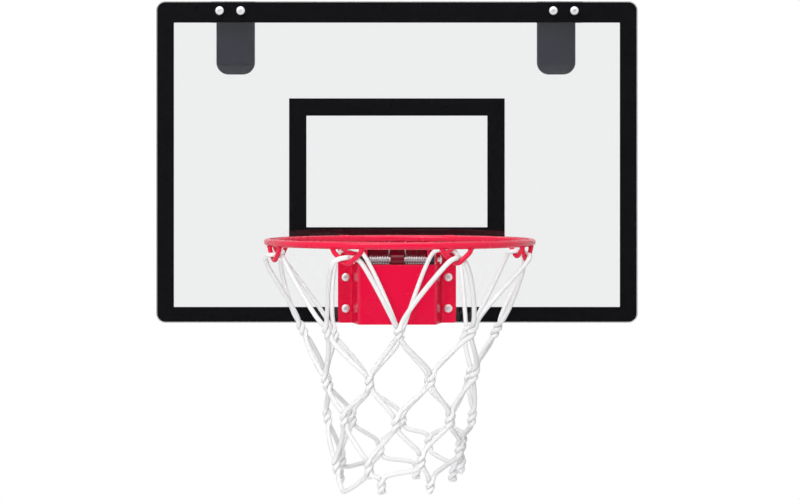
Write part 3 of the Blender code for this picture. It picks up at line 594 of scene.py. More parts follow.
class Nodes:
    """A node tree that is built by short calls. A node given as a value stands for its first output."""

    def __init__(self, tree: NodeTree) -> None:
        """Keep the tree."""
        self.tree = tree

    def set(self, entry: NodeSocket, value: Any) -> None:
        """Link an input or set its plain value.

        Args:
            entry: The input.
            value: A socket or node to link, or a value; three numbers make an opaque colour.
        """
        if isinstance(value, Node):
            value = value.outputs[0]
        if isinstance(value, NodeSocket):
            self.tree.links.new(value, entry)
        elif entry.type == "RGBA":
            entry.default_value = (*value, 1.0)
        else:
            entry.default_value = value

    def node(self, kind: str, values: dict[Any, Any] | None = None, **settings: Any) -> Node:
        """Add a node.

        Args:
            kind: Its type.
            values: Its inputs' values or what they link to, by name or number.
            settings: Properties of the node.

        Returns:
            The node.
        """
        made = self.tree.nodes.new(kind)
        for name, value in settings.items():
            setattr(made, name, value)
        for key, value in (values or {}).items():
            self.set(made.inputs[key], value)
        return made

    def feed(self, node: Node, **values: Any) -> Node:
        """Link or set a node's inputs by name, with _ for spaces.

        Args:
            node: The node.
            values: Values, sockets or nodes.

        Returns:
            The same node.
        """
        for name, value in values.items():
            self.set(node.inputs[name.replace("_", " ")], value)
        return node

    def math(self, operation: str, *values: Any) -> Node:
        """Reckon with one to three numbers."""
        return self.node("ShaderNodeMath", dict(enumerate(values)), operation=operation)

    def vector(self, operation: str, *values: Any) -> Node:
        """Reckon with one or two vectors."""
        return self.node("ShaderNodeVectorMath", dict(enumerate(values)), operation=operation)

    def split(self, vector: Any) -> Sequence[NodeSocket]:
        """The three parts of a vector."""
        return self.node("ShaderNodeSeparateXYZ", {0: vector}).outputs

    def fold(self, operation: str, *numbers: Any) -> Any:
        """Reckon with any count of numbers, from the first on."""
        return reduce(lambda one, other: self.math(operation, one, other), numbers)

    def product(self, *numbers: Any) -> Any:
        """Numbers multiplied together."""
        return self.fold("MULTIPLY", *numbers)

    def ramp(
        self, value: Any, start: Any, end: Any, low: Any = 0.0, high: Any = 1.0, soft: bool = False,
    ) -> Node:
        """Climb from one number to another while a value does.

        Args:
            value: The value.
            start: Where it begins.
            end: Where it ends.
            low: The result up to the start.
            high: The result from the end on.
            soft: Whether the climb is smooth at its ends.

        Returns:
            The node of the result.
        """
        limits = {"Value": value, "From Min": start, "From Max": end, "To Min": low, "To Max": high}
        kind = "SMOOTHSTEP" if soft else "LINEAR"
        return self.node("ShaderNodeMapRange", limits, interpolation_type=kind)

    def mix(self, share: Any, first: Any, second: Any) -> NodeSocket:
        """A colour between two colours."""
        return self.node("ShaderNodeMix", {0: share, 6: first, 7: second}, data_type="RGBA").outputs[2]


class Group(Nodes):
    """A node group with named inputs and outputs."""

    KINDS = {float: "Float", int: "Int"}

    def __init__(self, name: str, kind: str, inputs: dict[str, Any], outputs: dict[str, str]) -> None:
        """Start the group.

        Args:
            name: Its name.
            kind: GeometryNodeTree or ShaderNodeTree.
            inputs: Default of each number, or type of any other input, by name.
            outputs: Type of each output, by name.
        """
        super().__init__(bpy.data.node_groups.new(name, kind))
        interface = self.tree.interface
        for direction, sockets in (("INPUT", inputs), ("OUTPUT", outputs)):
            for socket, given in sockets.items():
                socket_type = "NodeSocket" + self.KINDS.get(type(given), str(given))
                item = interface.new_socket(name=socket, in_out=direction, socket_type=socket_type)
                if not isinstance(given, str):
                    item.default_value = given
        self.given = self.tree.nodes.new("NodeGroupInput").outputs
        self.end = self.tree.nodes.new("NodeGroupOutput")

    def noise(self, scale: Any, detail: Any) -> Node:
        """Noise at the group's own Vector."""
        values = {"Vector": self.given["Vector"], "Scale": scale, "Detail": detail}
        return self.node("ShaderNodeTexNoise", values)

    def finish(self, **results: Any) -> NodeTree:
        """Link the outputs and return the finished tree."""
        self.feed(self.end, **results)
        return self.tree


GEOMETRY = {"Geometry": "Geometry"}
WIRE_INPUTS = {
    **GEOMETRY, "Wire Radius": 2 * MM, "Sides": 16, "Ripple Step": 1.0, "Ripple Depth": 0.0,
    "Material": "Material",
}


def finish_geometry(tree: Group, geometry: Any) -> NodeTree:
    """End a tree with real geometry in the material that it is given.

    Args:
        tree: The tree.
        geometry: What it ends with.

    Returns:
        The finished tree.
    """
    real = tree.node("GeometryNodeRealizeInstances", {"Geometry": geometry})
    values = {"Geometry": real, "Material": tree.given["Material"]}
    return tree.finish(Geometry=tree.node("GeometryNodeSetMaterial", values))


def capture(tree: Group, geometry: Any, kind: str, name: str, value: Any) -> Node:
    """Keep a value at every point of a geometry.

    Args:
        tree: The tree.
        geometry: The geometry.
        kind: The value's type.
        name: Its name, which is also that of the node's output.
        value: What is kept.

    Returns:
        The node that keeps it.
    """
    kept = tree.node("GeometryNodeCaptureAttribute", {"Geometry": geometry}, domain="POINT")
    kept.capture_items.new(kind, name)
    return tree.feed(kept, **{name: value})


def sweep_lines(tree: Group, line: Any) -> NodeTree:
    """Sweep a round wire along lines, rippled like a weld bead where that is asked for.

    Each point keeps where it is on the wire: cosine and sine of its angle round it, and metres along it.

    Args:
        tree: A tree with the inputs of WIRE_INPUTS.
        line: What gives the lines.

    Returns:
        The finished tree.
    """
    spot = tree.node("GeometryNodeSplineParameter").outputs["Length"]
    turn = tree.product(tree.math("DIVIDE", spot, tree.given["Ripple Step"]), math.pi)
    dip = tree.product(tree.math("ABSOLUTE", tree.math("SINE", turn)), tree.given["Ripple Depth"])
    radius = tree.product(tree.math("SUBTRACT", 1.0, dip), tree.given["Wire Radius"])
    thick = tree.node("GeometryNodeSetCurveRadius", {"Curve": line, "Radius": radius})
    metres = capture(tree, thick, "FLOAT", "Metres", spot)
    values = {"Resolution": tree.given["Sides"], "Radius": 1.0}
    section = tree.node("GeometryNodeCurvePrimitiveCircle", values)
    angle = capture(tree, section, "VECTOR", "Round", tree.node("GeometryNodeInputPosition"))
    size = tree.node("GeometryNodeInputRadius")
    values = {"Curve": metres, "Profile Curve": angle, "Scale": size, "Fill Caps": True}
    swept = tree.node("GeometryNodeCurveToMesh", values)
    cosine, sine, _ = tree.split(angle.outputs["Round"])
    joined = tree.node("ShaderNodeCombineXYZ", {0: cosine, 1: sine, 2: metres.outputs["Metres"]})
    values = {"Geometry": swept, "Name": ALONG, "Value": joined}
    kept = tree.node("GeometryNodeStoreNamedAttribute", values, data_type="FLOAT_VECTOR", domain="POINT")
    smooth = tree.node("GeometryNodeSetShadeSmooth", {"Geometry": kept, "Shade Smooth": True})
    return finish_geometry(tree, smooth)


def copies(tree: Group, spots: Any, shape: Any, turn: dict[int, Any]) -> Node:
    """Copies of a shape at points, turned by an angle about the axis of that number."""
    values = {"Points": spots, "Instance": shape, "Rotation": tree.node("ShaderNodeCombineXYZ", turn)}
    return tree.node("GeometryNodeInstanceOnPoints", values)


def wire_tree() -> NodeTree:
    """The tree that sweeps a wire along the lines it is given."""
    tree = Group("swept_wire", "GeometryNodeTree", WIRE_INPUTS, GEOMETRY)
    return sweep_lines(tree, tree.given["Geometry"])


def ring_copies_tree() -> NodeTree:
    """The tree that repeats a wire shape round the ring, then sweeps the wire.

    Returns:
        The tree.
    """
    inputs = {**WIRE_INPUTS, "Count": 8, "Ring Radius": 0.1, "Centre": "Vector", "First Share": 0.5}
    tree = Group("wires_round_ring", "GeometryNodeTree", inputs, GEOMETRY)
    order = tree.math("ADD", tree.node("GeometryNodeInputIndex"), tree.given["First Share"])
    turn = tree.product(tree.math("DIVIDE", order, tree.given["Count"]), math.tau)
    front = tree.product(tree.math("COSINE", turn), -1.0)
    way = tree.node("ShaderNodeCombineXYZ", {0: tree.math("SINE", turn), 1: front})
    reach = tree.feed(tree.vector("SCALE", way), Scale=tree.given["Ring Radius"])
    place = tree.vector("ADD", reach, tree.given["Centre"])
    spots = tree.node("GeometryNodePoints", {"Count": tree.given["Count"], "Position": place})
    wires = copies(tree, spots, tree.given["Geometry"], {2: turn})
    return sweep_lines(tree, tree.node("GeometryNodeRealizeInstances", {"Geometry": wires}))


def fastener_tree() -> NodeTree:
    """The tree that puts one fastener at every point, each turned as its hand left it.

    Returns:
        The tree.
    """
    inputs = {**GEOMETRY, "Fastener": "Object", "Material": "Material", "Seed": 1}
    tree = Group("fasteners_at_points", "GeometryNodeTree", inputs, GEOMETRY)
    shape = tree.node("GeometryNodeObjectInfo", {"Object": tree.given["Fastener"]}).outputs["Geometry"]
    limits = {2: 0.0, 3: math.tau, "Seed": tree.given["Seed"]}
    turn = tree.node("FunctionNodeRandomValue", limits, data_type="FLOAT").outputs[1]
    spots = tree.node("GeometryNodeMeshToPoints", {"Mesh": tree.given["Geometry"]})
    return finish_geometry(tree, copies(tree, spots, shape, {1: turn}))


def run_tree(source: Object, tree: NodeTree, values: dict[str, Any]) -> Object:
    """Run a tree on an object and keep the result as a plain mesh.

    Args:
        source: The object that the tree reads, which is removed.
        tree: The geometry node tree.
        values: Values of its inputs, by name.

    Returns:
        A mesh object under the source's name.
    """
    modifier = source.modifiers.new("tree", "NODES")
    modifier.node_group = tree
    sockets = {item.name: item.identifier for item in tree.interface.items_tree if item.in_out == "INPUT"}
    for key, value in values.items():
        modifier[sockets[key]] = value
    name = source.name
    mesh = evaluated_mesh(source)
    source.modifiers.remove(modifier)
    bpy.data.objects.remove(source, do_unlink=True)
    mesh.name = name
    mesh.set_sharp_from_angle(angle=SHARP)
    return add_object(name, mesh)


# Shader node groups


def grain_group() -> NodeTree:
    """Fine unevenness: a value between two limits, its height, and a tinted colour.

    Returns:
        The group.
    """
    inputs = {
        "Vector": "Vector", "Scale": 500.0, "Detail": 3.0, "Low": 0.3, "High": 0.5,
        "Colour A": "Color", "Colour B": "Color",
    }
    outputs = {"Value": "Float", "Height": "Float", "Colour": "Color"}
    tree = Group("grain", "ShaderNodeTree", inputs, outputs)
    cloud = tree.noise(tree.given["Scale"], tree.given["Detail"])
    colour = tree.mix(cloud, tree.given["Colour A"], tree.given["Colour B"])
    value = tree.ramp(cloud, 0.3, 0.7, tree.given["Low"], tree.given["High"])
    return tree.finish(Value=value, Height=cloud, Colour=colour)


def mask_group(name: str, **inputs: Any) -> Group:
    """Start a shader group whose only output is a mask."""
    inputs = {"Vector": "Vector", **{key.replace("_", " "): value for key, value in inputs.items()}}
    return Group(name, "ShaderNodeTree", inputs, {"Mask": "Float"})


def wear_group() -> NodeTree:
    """Wear along edges: a mask that is broken up by noise.

    Returns:
        The group.
    """
    tree = mask_group("edge_wear", Scale=300.0, Amount=0.5)
    sharp = tree.node("ShaderNodeAttribute", attribute_name=EDGE).outputs["Fac"]
    broken = tree.ramp(tree.noise(tree.given["Scale"], 5.0), 0.48, 0.66)
    return tree.finish(Mask=tree.product(sharp, broken, tree.given["Amount"]))


def dust_group() -> NodeTree:
    """Dust that settles on what faces up: a mask.

    Returns:
        The group.
    """
    tree = mask_group("settled_dust", Scale=60.0, Amount=0.1)
    up = tree.ramp(tree.split(tree.node("ShaderNodeNewGeometry").outputs["Normal"])[2], 0.4, 1.0)
    patchy = tree.ramp(tree.noise(tree.given["Scale"], 6.0), 0.35, 0.75)
    return tree.finish(Mask=tree.product(up, patchy, tree.given["Amount"]))


def oil_group() -> NodeTree:
    """Painted shade in the hinge recess, round a pin along X, where the parts face the pin: a mask.

    Returns:
        The group.
    """
    ragged = 5 * MM
    tree = mask_group(
        "hinge_oil", Pin="Vector", Reach=12 * MM, Half_Width=28 * MM, Below=4.8 * MM, Behind=6.2 * MM,
    )
    place = tree.vector("SUBTRACT", tree.given["Vector"], tree.given["Pin"])
    x, y, z = tree.split(place)
    away = tree.vector("LENGTH", tree.vector("MULTIPLY", place, (0.0, 1.0, 1.0))).outputs["Value"]
    away = tree.math("MULTIPLY_ADD", tree.noise(400.0, 4.0), ragged, away)
    near = tree.ramp(away, tree.math("ADD", tree.given["Reach"], ragged), tree.given["Reach"])
    within = tree.math("LESS_THAN", tree.math("ABSOLUTE", x), tree.given["Half Width"])
    above = tree.math("GREATER_THAN", tree.math("ADD", z, tree.given["Below"]), 0.0)
    before = tree.math("LESS_THAN", y, tree.given["Behind"])
    return tree.finish(Mask=tree.product(near, within, above, before))


def braid_group() -> NodeTree:
    """A braid round a cord: height of its strands and a mask of the gaps between them.

    Returns:
        The group.
    """
    inputs = {"Strands": 4.0, "Step": 3 * MM}
    tree = Group("braid", "ShaderNodeTree", inputs, {"Height": "Float", "Gap": "Float"})
    spot = tree.node("ShaderNodeAttribute", attribute_name=ALONG).outputs["Vector"]
    cosine, sine, metres = tree.split(spot)
    lap = tree.product(tree.math("ARCTAN2", sine, cosine), tree.given["Strands"])
    climb = tree.product(tree.math("DIVIDE", metres, tree.given["Step"]), math.tau)
    waves = [tree.math("SINE", tree.math(lean, lap, climb)) for lean in ("ADD", "SUBTRACT")]
    height = tree.math("POWER", tree.product(*(tree.math("ABSOLUTE", wave) for wave in waves)), 0.5)
    return tree.finish(Height=height, Gap=tree.ramp(height, 0.45, 0.0))


@dataclass
class Effects:
    """Shader groups that several finishes share, each built once."""

    grain: NodeTree = field(default_factory=grain_group)
    wear: NodeTree = field(default_factory=wear_group)
    braid: NodeTree = field(default_factory=braid_group)
    dust: NodeTree = field(default_factory=dust_group)
    # Painted shade round the hinge pin, in the recess under the rim plate
    oil: NodeTree = field(default_factory=oil_group)


# Finishes


class Dresser(Nodes):
    """One material under construction: its Principled shader and the nodes that feed it."""

    def __init__(self, name: str, effects: Effects | None = None) -> None:
        """Start a material.

        Args:
            name: The material's name.
            effects: The shared shader groups, where it uses them.
        """
        self.material = bpy.data.materials.new(name)
        self.material.use_nodes = True
        super().__init__(self.material.node_tree)
        self.surface = self.tree.nodes["Principled BSDF"]
        self.effects = effects
        self.place = self.node("ShaderNodeTexCoord").outputs["Object"]

    def effect(self, tree: NodeTree, **values: Any) -> Node:
        """Add a shared group, read on Object coordinates where no Vector is given.

        Args:
            tree: The group.
            values: Its inputs, with _ for spaces.

        Returns:
            Its node.
        """
        made = self.node("ShaderNodeGroup", node_tree=tree)
        if "Vector" in made.inputs:
            values = {"Vector": self.place, **values}
        return self.feed(made, **values)

    def stretched(self, vector: Any, scale: tuple[float, float, float]) -> Node:
        """Coordinates stretched along the axes."""
        return self.node("ShaderNodeMapping", {"Vector": vector, "Scale": scale})

    def shade(self, **values: Any) -> None:
        """Feed the shader's inputs by name, with _ for spaces."""
        self.feed(self.surface, **values)

    def bump(self, height: Any, depth: float) -> Node:
        """A normal from a height of that many metres."""
        return self.node("ShaderNodeBump", {"Height": height, "Distance": depth})


def scaled(colour: Colour, share: float) -> Colour:
    """A colour made lighter or darker."""
    return tuple(share * part for part in colour)


@dataclass(frozen=True)
class Finish:
    """What every finish has: its name, the record's slot that it fills, and its colour."""

    name: str
    slot: str
    colour: Colour

    def make(self, effects: Effects) -> Material:
        """Build the material.

        Args:
            effects: The shared shader groups.

        Returns:
            The material.
        """
        dress = Dresser(self.name, effects)
        self.paint(dress)
        return dress.material

    def paint(self, dress: Dresser) -> None:
        """Feed the shader.

        Args:
            dress: The unfinished material.
        """
        raise NotImplementedError

    def grain(self, dress: Dresser, scale: float, rough: Pair, second: Colour, **values: Any) -> Node:
        """The fine unevenness of the finish in colour and gloss.

        Args:
            dress: The unfinished material.
            scale: Scale of the grain.
            rough: Limits of the roughness.
            second: The colour that the finish's own one shades into.
            values: Other inputs of the group.

        Returns:
            The grain's node.
        """
        low, high = rough
        values = {"Colour_A": self.colour, "Colour_B": second, **values}
        return dress.effect(dress.effects.grain, Scale=scale, Low=low, High=high, **values)


@dataclass(frozen=True)
class PowderCoat(Finish):
    """Powder paint on steel: orange peel, faint mottling, thin bright edges, and painted shade round a
    hinge where one is given.
    """

    deep: Colour
    worn: Colour
    gloss: Gloss
    mirror: float
    coat: float
    # Colour of the painted shade in the hinge recess, and where the hinge pin runs
    oiled: Colour | None = None
    pin: Sequence[float] = (0.0, 0.0, 0.0)
    wear: float = 0.35
    dust: Colour = (0.5, 0.48, 0.45)

    def paint(self, dress: Dresser) -> None:
        """Feed the shader.

        Args:
            dress: The unfinished material.
        """
        shared = dress.effects
        mottle = self.grain(dress, 90.0, self.gloss.value, self.deep)
        peel = dress.effect(shared.grain, Scale=700.0, Detail=1.0)
        rubbed = dress.effect(shared.wear, Scale=260.0, Amount=self.wear)
        dusty = dress.effect(shared.dust, Scale=45.0, Amount=0.04)
        colour = dress.mix(rubbed, mottle.outputs["Colour"], self.worn)
        colour = dress.mix(dusty, colour, self.dust)
        # Painted shade: parts near the hinge pin, inside the recess, darken to the shade colour
        if self.oiled:
            colour = dress.mix(dress.effect(shared.oil, Pin=self.pin), colour, self.oiled)
        dress.shade(
            Base_Color=colour, Roughness=mottle, Coat_Weight=self.coat, Coat_Roughness=0.12,
            Specular_IOR_Level=self.mirror, Normal=dress.bump(peel.outputs["Height"], 0.03 * MM),
        )


@dataclass(frozen=True)
class ClearSheet(Finish):
    """Clear polycarbonate: a slight grey tint, with faint wipe marks in its gloss."""

    light_through: float = 0.85

    def paint(self, dress: Dresser) -> None:
        """Feed the shader.

        Args:
            dress: The unfinished material.
        """
        spot = dress.stretched(dress.place, (1.0, 1.0, 6.0))
        wipes = self.grain(dress, 22.0, (0.0, 0.035), scaled(self.colour, 0.99), Vector=spot)
        shadow = dress.node("ShaderNodeLightPath").outputs["Is Shadow Ray"]
        blocked = dress.product(shadow, self.light_through)
        dress.shade(
            Base_Color=wipes.outputs["Colour"], Roughness=wipes,
            Alpha=dress.math("SUBTRACT", 1.0, blocked), Transmission_Weight=1.0, IOR=1.58,
        )


@dataclass(frozen=True)
class PrintInk(Finish):
    """Screen-printed ink on the back of the sheet."""

    def paint(self, dress: Dresser) -> None:
        """Feed the shader.

        Args:
            dress: The unfinished material.
        """
        coat = self.grain(dress, 140.0, (0.26, 0.4), scaled(self.colour, 1.5))
        mesh_marks = dress.effect(dress.effects.grain, Scale=2200.0, Detail=1.0)
        dress.shade(
            Base_Color=coat.outputs["Colour"], Roughness=coat, Specular_IOR_Level=0.06,
            Normal=dress.bump(mesh_marks.outputs["Height"], 0.01 * MM),
        )


@dataclass(frozen=True)
class CellFoam(Finish):
    """Closed-cell foam: small cells, a dull skin, and paler rubbed edges."""

    pale: Colour

    def paint(self, dress: Dresser) -> None:
        """Feed the shader.

        Args:
            dress: The unfinished material.
        """
        cells = dress.node("ShaderNodeTexVoronoi", {"Vector": dress.place, "Scale": 1400.0}, feature="F1")
        tone = self.grain(dress, 160.0, (0.8, 0.95), self.pale)
        rubbed = dress.effect(dress.effects.wear, Scale=400.0, Amount=0.5)
        dress.shade(
            Base_Color=dress.mix(rubbed, tone.outputs["Colour"], self.pale), Roughness=tone,
            Specular_IOR_Level=0.15, Sheen_Weight=0.05, Sheen_Roughness=0.5,
            Normal=dress.bump(cells.outputs["Distance"], 0.12 * MM),
        )


@dataclass(frozen=True)
class ZincPlate(Finish):
    """Bright zinc on small steel parts: a faint yellow-blue cast and fine scuffs."""

    cast: Colour
    rough: Pair
    metal: float
    bare: Colour = (0.93, 0.93, 0.94)

    def paint(self, dress: Dresser) -> None:
        """Feed the shader.

        Args:
            dress: The unfinished material.
        """
        shared = dress.effects
        plating = self.grain(dress, 420.0, self.rough, self.cast)
        drawn = dress.stretched(dress.place, (1.0, 1.0, 9.0))
        scuffs = dress.effect(shared.grain, Vector=drawn, Scale=900.0, Detail=2.0)
        rubbed = dress.effect(shared.wear, Scale=900.0, Amount=0.4)
        dress.shade(
            Base_Color=dress.mix(rubbed, plating.outputs["Colour"], self.bare), Metallic=self.metal,
            Roughness=plating, Normal=dress.bump(scuffs.outputs["Height"], 0.01 * MM),
        )


@dataclass(frozen=True)
class SpringWire(Finish):
    """Drawn spring wire: streaks along the wire."""

    streak: Colour

    def paint(self, dress: Dresser) -> None:
        """Feed the shader.

        Args:
            dress: The unfinished material.
        """
        spot = dress.node("ShaderNodeAttribute", attribute_name=ALONG).outputs["Vector"]
        drawn = dress.stretched(spot, (9.0, 9.0, 60.0))
        streaks = self.grain(dress, 1.0, (0.2, 0.42), self.streak, Vector=drawn)
        dress.shade(
            Base_Color=streaks.outputs["Colour"], Metallic=1.0, Roughness=streaks,
            Normal=dress.bump(streaks.outputs["Height"], 0.01 * MM),
        )


@dataclass(frozen=True)
class Nylon(Finish):
    """Moulded black nylon."""

    def paint(self, dress: Dresser) -> None:
        """Feed the shader.

        Args:
            dress: The unfinished material.
        """
        skin = self.grain(dress, 1100.0, (0.4, 0.6), scaled(self.colour, 1.4))
        relief = dress.bump(skin.outputs["Height"], 0.02 * MM)
        dress.shade(Base_Color=skin.outputs["Colour"], Roughness=skin, Normal=relief)


@dataclass(frozen=True)
class BraidedCord(Finish):
    """White braided cord: raised strands, painted shade in the gaps between them, and a soft sheen."""

    # Grey painted shade in the gaps between the braid's strands
    gap: Colour
    soiled: Colour
    strands: float = 4.0
    step: float = 3.2 * MM

    def paint(self, dress: Dresser) -> None:
        """Feed the shader.

        Args:
            dress: The unfinished material.
        """
        shared = dress.effects
        braid = dress.effect(shared.braid, Strands=self.strands, Step=self.step)
        fibre = self.grain(dress, 2500.0, (0.75, 0.92), scaled(self.colour, 0.94))
        handled = dress.effect(shared.grain, Scale=28.0, Low=0.0, High=0.25)
        # Painted shade: the gaps between strands take the darker grey
        gap_shaded = dress.mix(braid.outputs["Gap"], fibre.outputs["Colour"], self.gap)
        height = dress.math("MULTIPLY_ADD", fibre.outputs["Height"], 0.25, braid)
        dress.shade(
            Base_Color=dress.mix(handled, gap_shaded, self.soiled), Roughness=fibre, Sheen_Weight=0.25,
            Sheen_Roughness=0.4, Normal=dress.bump(height, 0.25 * MM),
        )


def make_palette(hinge: Vector) -> dict[str, Material]:
    """Build every finish of the hoop.

    Args:
        hinge: Where the hinge pin runs, round which shade is painted.

    Returns:
        The materials by the record's slots.
    """
    finishes = (
        ClearSheet("clear_polycarbonate", "clear_sheet", (0.9, 0.905, 0.91)),
        PrintInk("printed_ink", "black_print", (0.003, 0.003, 0.004)),
        PowderCoat(
            "black_powder_coat", "black_metal", (0.02, 0.022, 0.032), deep=(0.03, 0.032, 0.045),
            worn=(0.09, 0.09, 0.1), gloss=Gloss.SATIN, mirror=0.15, coat=0.05,
        ),
        PowderCoat(
            "red_powder_coat", "red_metal", (0.78, 0.002, 0.05), deep=(0.7, 0.001, 0.04),
            worn=(0.9, 0.03, 0.1), gloss=Gloss.BRIGHT, mirror=0.3, coat=0.12,
            # Dark red of the painted shade in the hinge recess
            oiled=(0.13, 0.001, 0.009), pin=hinge,
        ),
        CellFoam("cell_foam", "foam", (0.008, 0.009, 0.02), pale=(0.022, 0.024, 0.044)),
        ZincPlate(
            "bright_zinc", "zinc", (0.9, 0.9, 0.92), cast=(0.85, 0.84, 0.83), rough=(0.34, 0.5), metal=0.7,
        ),
        SpringWire("spring_wire", "spring_steel", (0.74, 0.72, 0.74), streak=(0.6, 0.58, 0.61)),
        Nylon("black_nylon", "plastic", (0.02, 0.02, 0.022)),
        BraidedCord(
            # Grey painted shade in the gaps between the braid's strands
            "braided_cord", "white_cord", (0.92, 0.92, 0.93), gap=(0.74, 0.74, 0.77),
            soiled=(0.87, 0.87, 0.86),
        ),
    )
    effects = Effects()
    return {finish.slot: finish.make(effects) for finish in finishes}


@dataclass
class Workshop:
    """What every sub-assembly needs: the joints' places, the finishes and the trees."""

    joints: dict[str, Vector]
    wire: NodeTree = field(default_factory=wire_tree)
    round_ring: NodeTree = field(default_factory=ring_copies_tree)
    fasteners: NodeTree = field(default_factory=fastener_tree)

    def __post_init__(self) -> None:
        """Find the hinge pin and build the finishes."""
        self.hinge = self.joints["rim_tilt"]
        self.palette = make_palette(self.hinge)

    def sweep(
        self, name: str, lines: Sequence[Sequence[Vector]], radius: float, slot: str,
        sides: int = 16, closed: bool = False, ripple: float = 0.0, step: float = 1.0,
    ) -> Object:
        """A round wire along lines.

        Args:
            name: The piece's name.
            lines: Points of each line.
            radius: The wire's radius.
            slot: The record's slot of its finish.
            sides: Sides of its section.
            closed: Whether each line closes on itself.
            ripple: Depth of its ripples, as a share of the radius.
            step: Metres from one ripple to the next.

        Returns:
            The piece.
        """
        values = {
            "Wire Radius": radius, "Sides": sides, "Ripple Depth": ripple, "Ripple Step": step,
            "Material": self.palette[slot],
        }
        return run_tree(make_lines(name, lines, closed), self.wire, values)

    def place(self, piece: Object, slot: str, nodes: Sequence[str] = (), body: str = "backboard") -> Object:
        """Let a piece ride on a body instead of model nodes.

        Args:
            piece: The finished piece.
            slot: Not used.
            nodes: Model nodes that it stands for.
            body: The body that carries it.

        Returns:
            The piece.
        """
        modifier = piece.modifiers.new("weigh", "WEIGHTED_NORMAL")
        modifier.keep_sharp = True
        bake(piece)
        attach(piece, body)
        if nodes:
            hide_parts(*nodes)
        LOG.info("%s rides on %s", piece.name, body)
        return piece

    def add(
        self, name: str, shape: BMesh, slot: str, nodes: Sequence[str], body: str = "backboard",
        tool: BMesh | None = None,
    ) -> Object:
        """Finish a mesh as a piece and place it.

        Args:
            name: The piece's name.
            shape: Its mesh.
            slot: The record's material slot.
            nodes: Model nodes that it stands for.
            body: The body that carries it.
            tool: What is cut out of it.

        Returns:
            The piece.
        """
        piece = make_piece(name, shape, self.palette[slot])
        if tool:
            cut(piece, tool)
        return self.place(piece, slot, nodes, body)

    def add_pad(self, node: str, outline: Sequence[Pair], edge: float) -> None:
        """Add one cut foam pad.

        Args:
            node: The model node that it stands for.
            outline: Its outline from the front.
            edge: Radius of its edges.
        """
        low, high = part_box(node)
        shape = plate(Axis.Y, outline, low.y, high.y, edge, steps=5)
        piece = self.add("foam_" + node, shape, "foam", [node])


# Sub-assemblies


@dataclass
class Backboard:
    """The clear sheet with its printed border and target."""

    shop: Workshop
    corner: float = 8.5 * MM
    edge: float = 0.5 * MM
    hole: float = 2.3 * MM
    border_side: float = 16.5 * MM
    border_top: float = 20.0 * MM
    border_bottom: float = 14.7 * MM
    target_line: float = 16.5 * MM
    print_corner: float = 0.4 * MM
    print_edge: float = 0.02 * MM
    washer_room: float = 5.1 * MM
    tool_edge: float = 0.05 * MM
    bond: float = 0.06 * MM

    def holes(self, kind: str, radius: float) -> list[list[Pair]]:
        """Outlines of round holes at the screws of one kind."""
        return [circle(radius, 32, centre_of(node).xz) for node in numbered(kind)]

    def build(self) -> None:
        """Make the sheet and the prints."""
        self.build_sheet()
        self.build_border()
        self.build_target()

    def build_sheet(self) -> None:
        """The clear sheet, with polished edges and drilled holes."""
        low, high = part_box("backboard_sheet")
        holes = self.holes("hanger_bolt", self.hole) + self.holes("bracket_bolt", self.hole)
        outline = front_of("backboard_sheet", self.corner, 12)
        shape = plate(Axis.Y, outline, low.y, high.y, self.edge, holes)
        self.shop.add("clear_backboard", shape, "clear_sheet", ["backboard_sheet"])

    def build_border(self) -> None:
        """The black border: it meets the sheet's edge and is bonded to its back face."""
        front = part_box("backboard_sheet")[1].y
        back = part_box("border_print")[1].y
        outline = front_of("backboard_sheet", self.corner - self.edge, 12, [self.edge] * 4)
        widths = (self.border_side, self.border_bottom, self.border_side, self.border_top)
        window = front_of("backboard_sheet", self.print_corner, 3, widths)
        holes = [window, *self.holes("hanger_bolt", self.hole)]
        shape = plate(Axis.Y, outline, front - self.bond, back, self.print_edge, holes, 1)
        tool = bmesh.new()
        for hole in self.holes("bracket_bolt", self.washer_room):
            plate(Axis.Y, hole, front - MM, back + MM, self.tool_edge, shape=tool)
        self.shop.add("printed_border", shape, "black_print", ["border_print"], tool=tool)

    def build_target(self) -> None:
        """The black target rectangle, bonded to the sheet's back face."""
        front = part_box("backboard_sheet")[1].y - self.bond
        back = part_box("target_print")[1].y
        outline = front_of("target_print", self.print_corner, 3)
        window = front_of("target_print", self.print_corner, 3, [self.target_line] * 4)
        shape = plate(Axis.Y, outline, front, back, self.print_edge, [window], 1)
        self.shop.add("printed_target", shape, "black_print", ["target_print"])


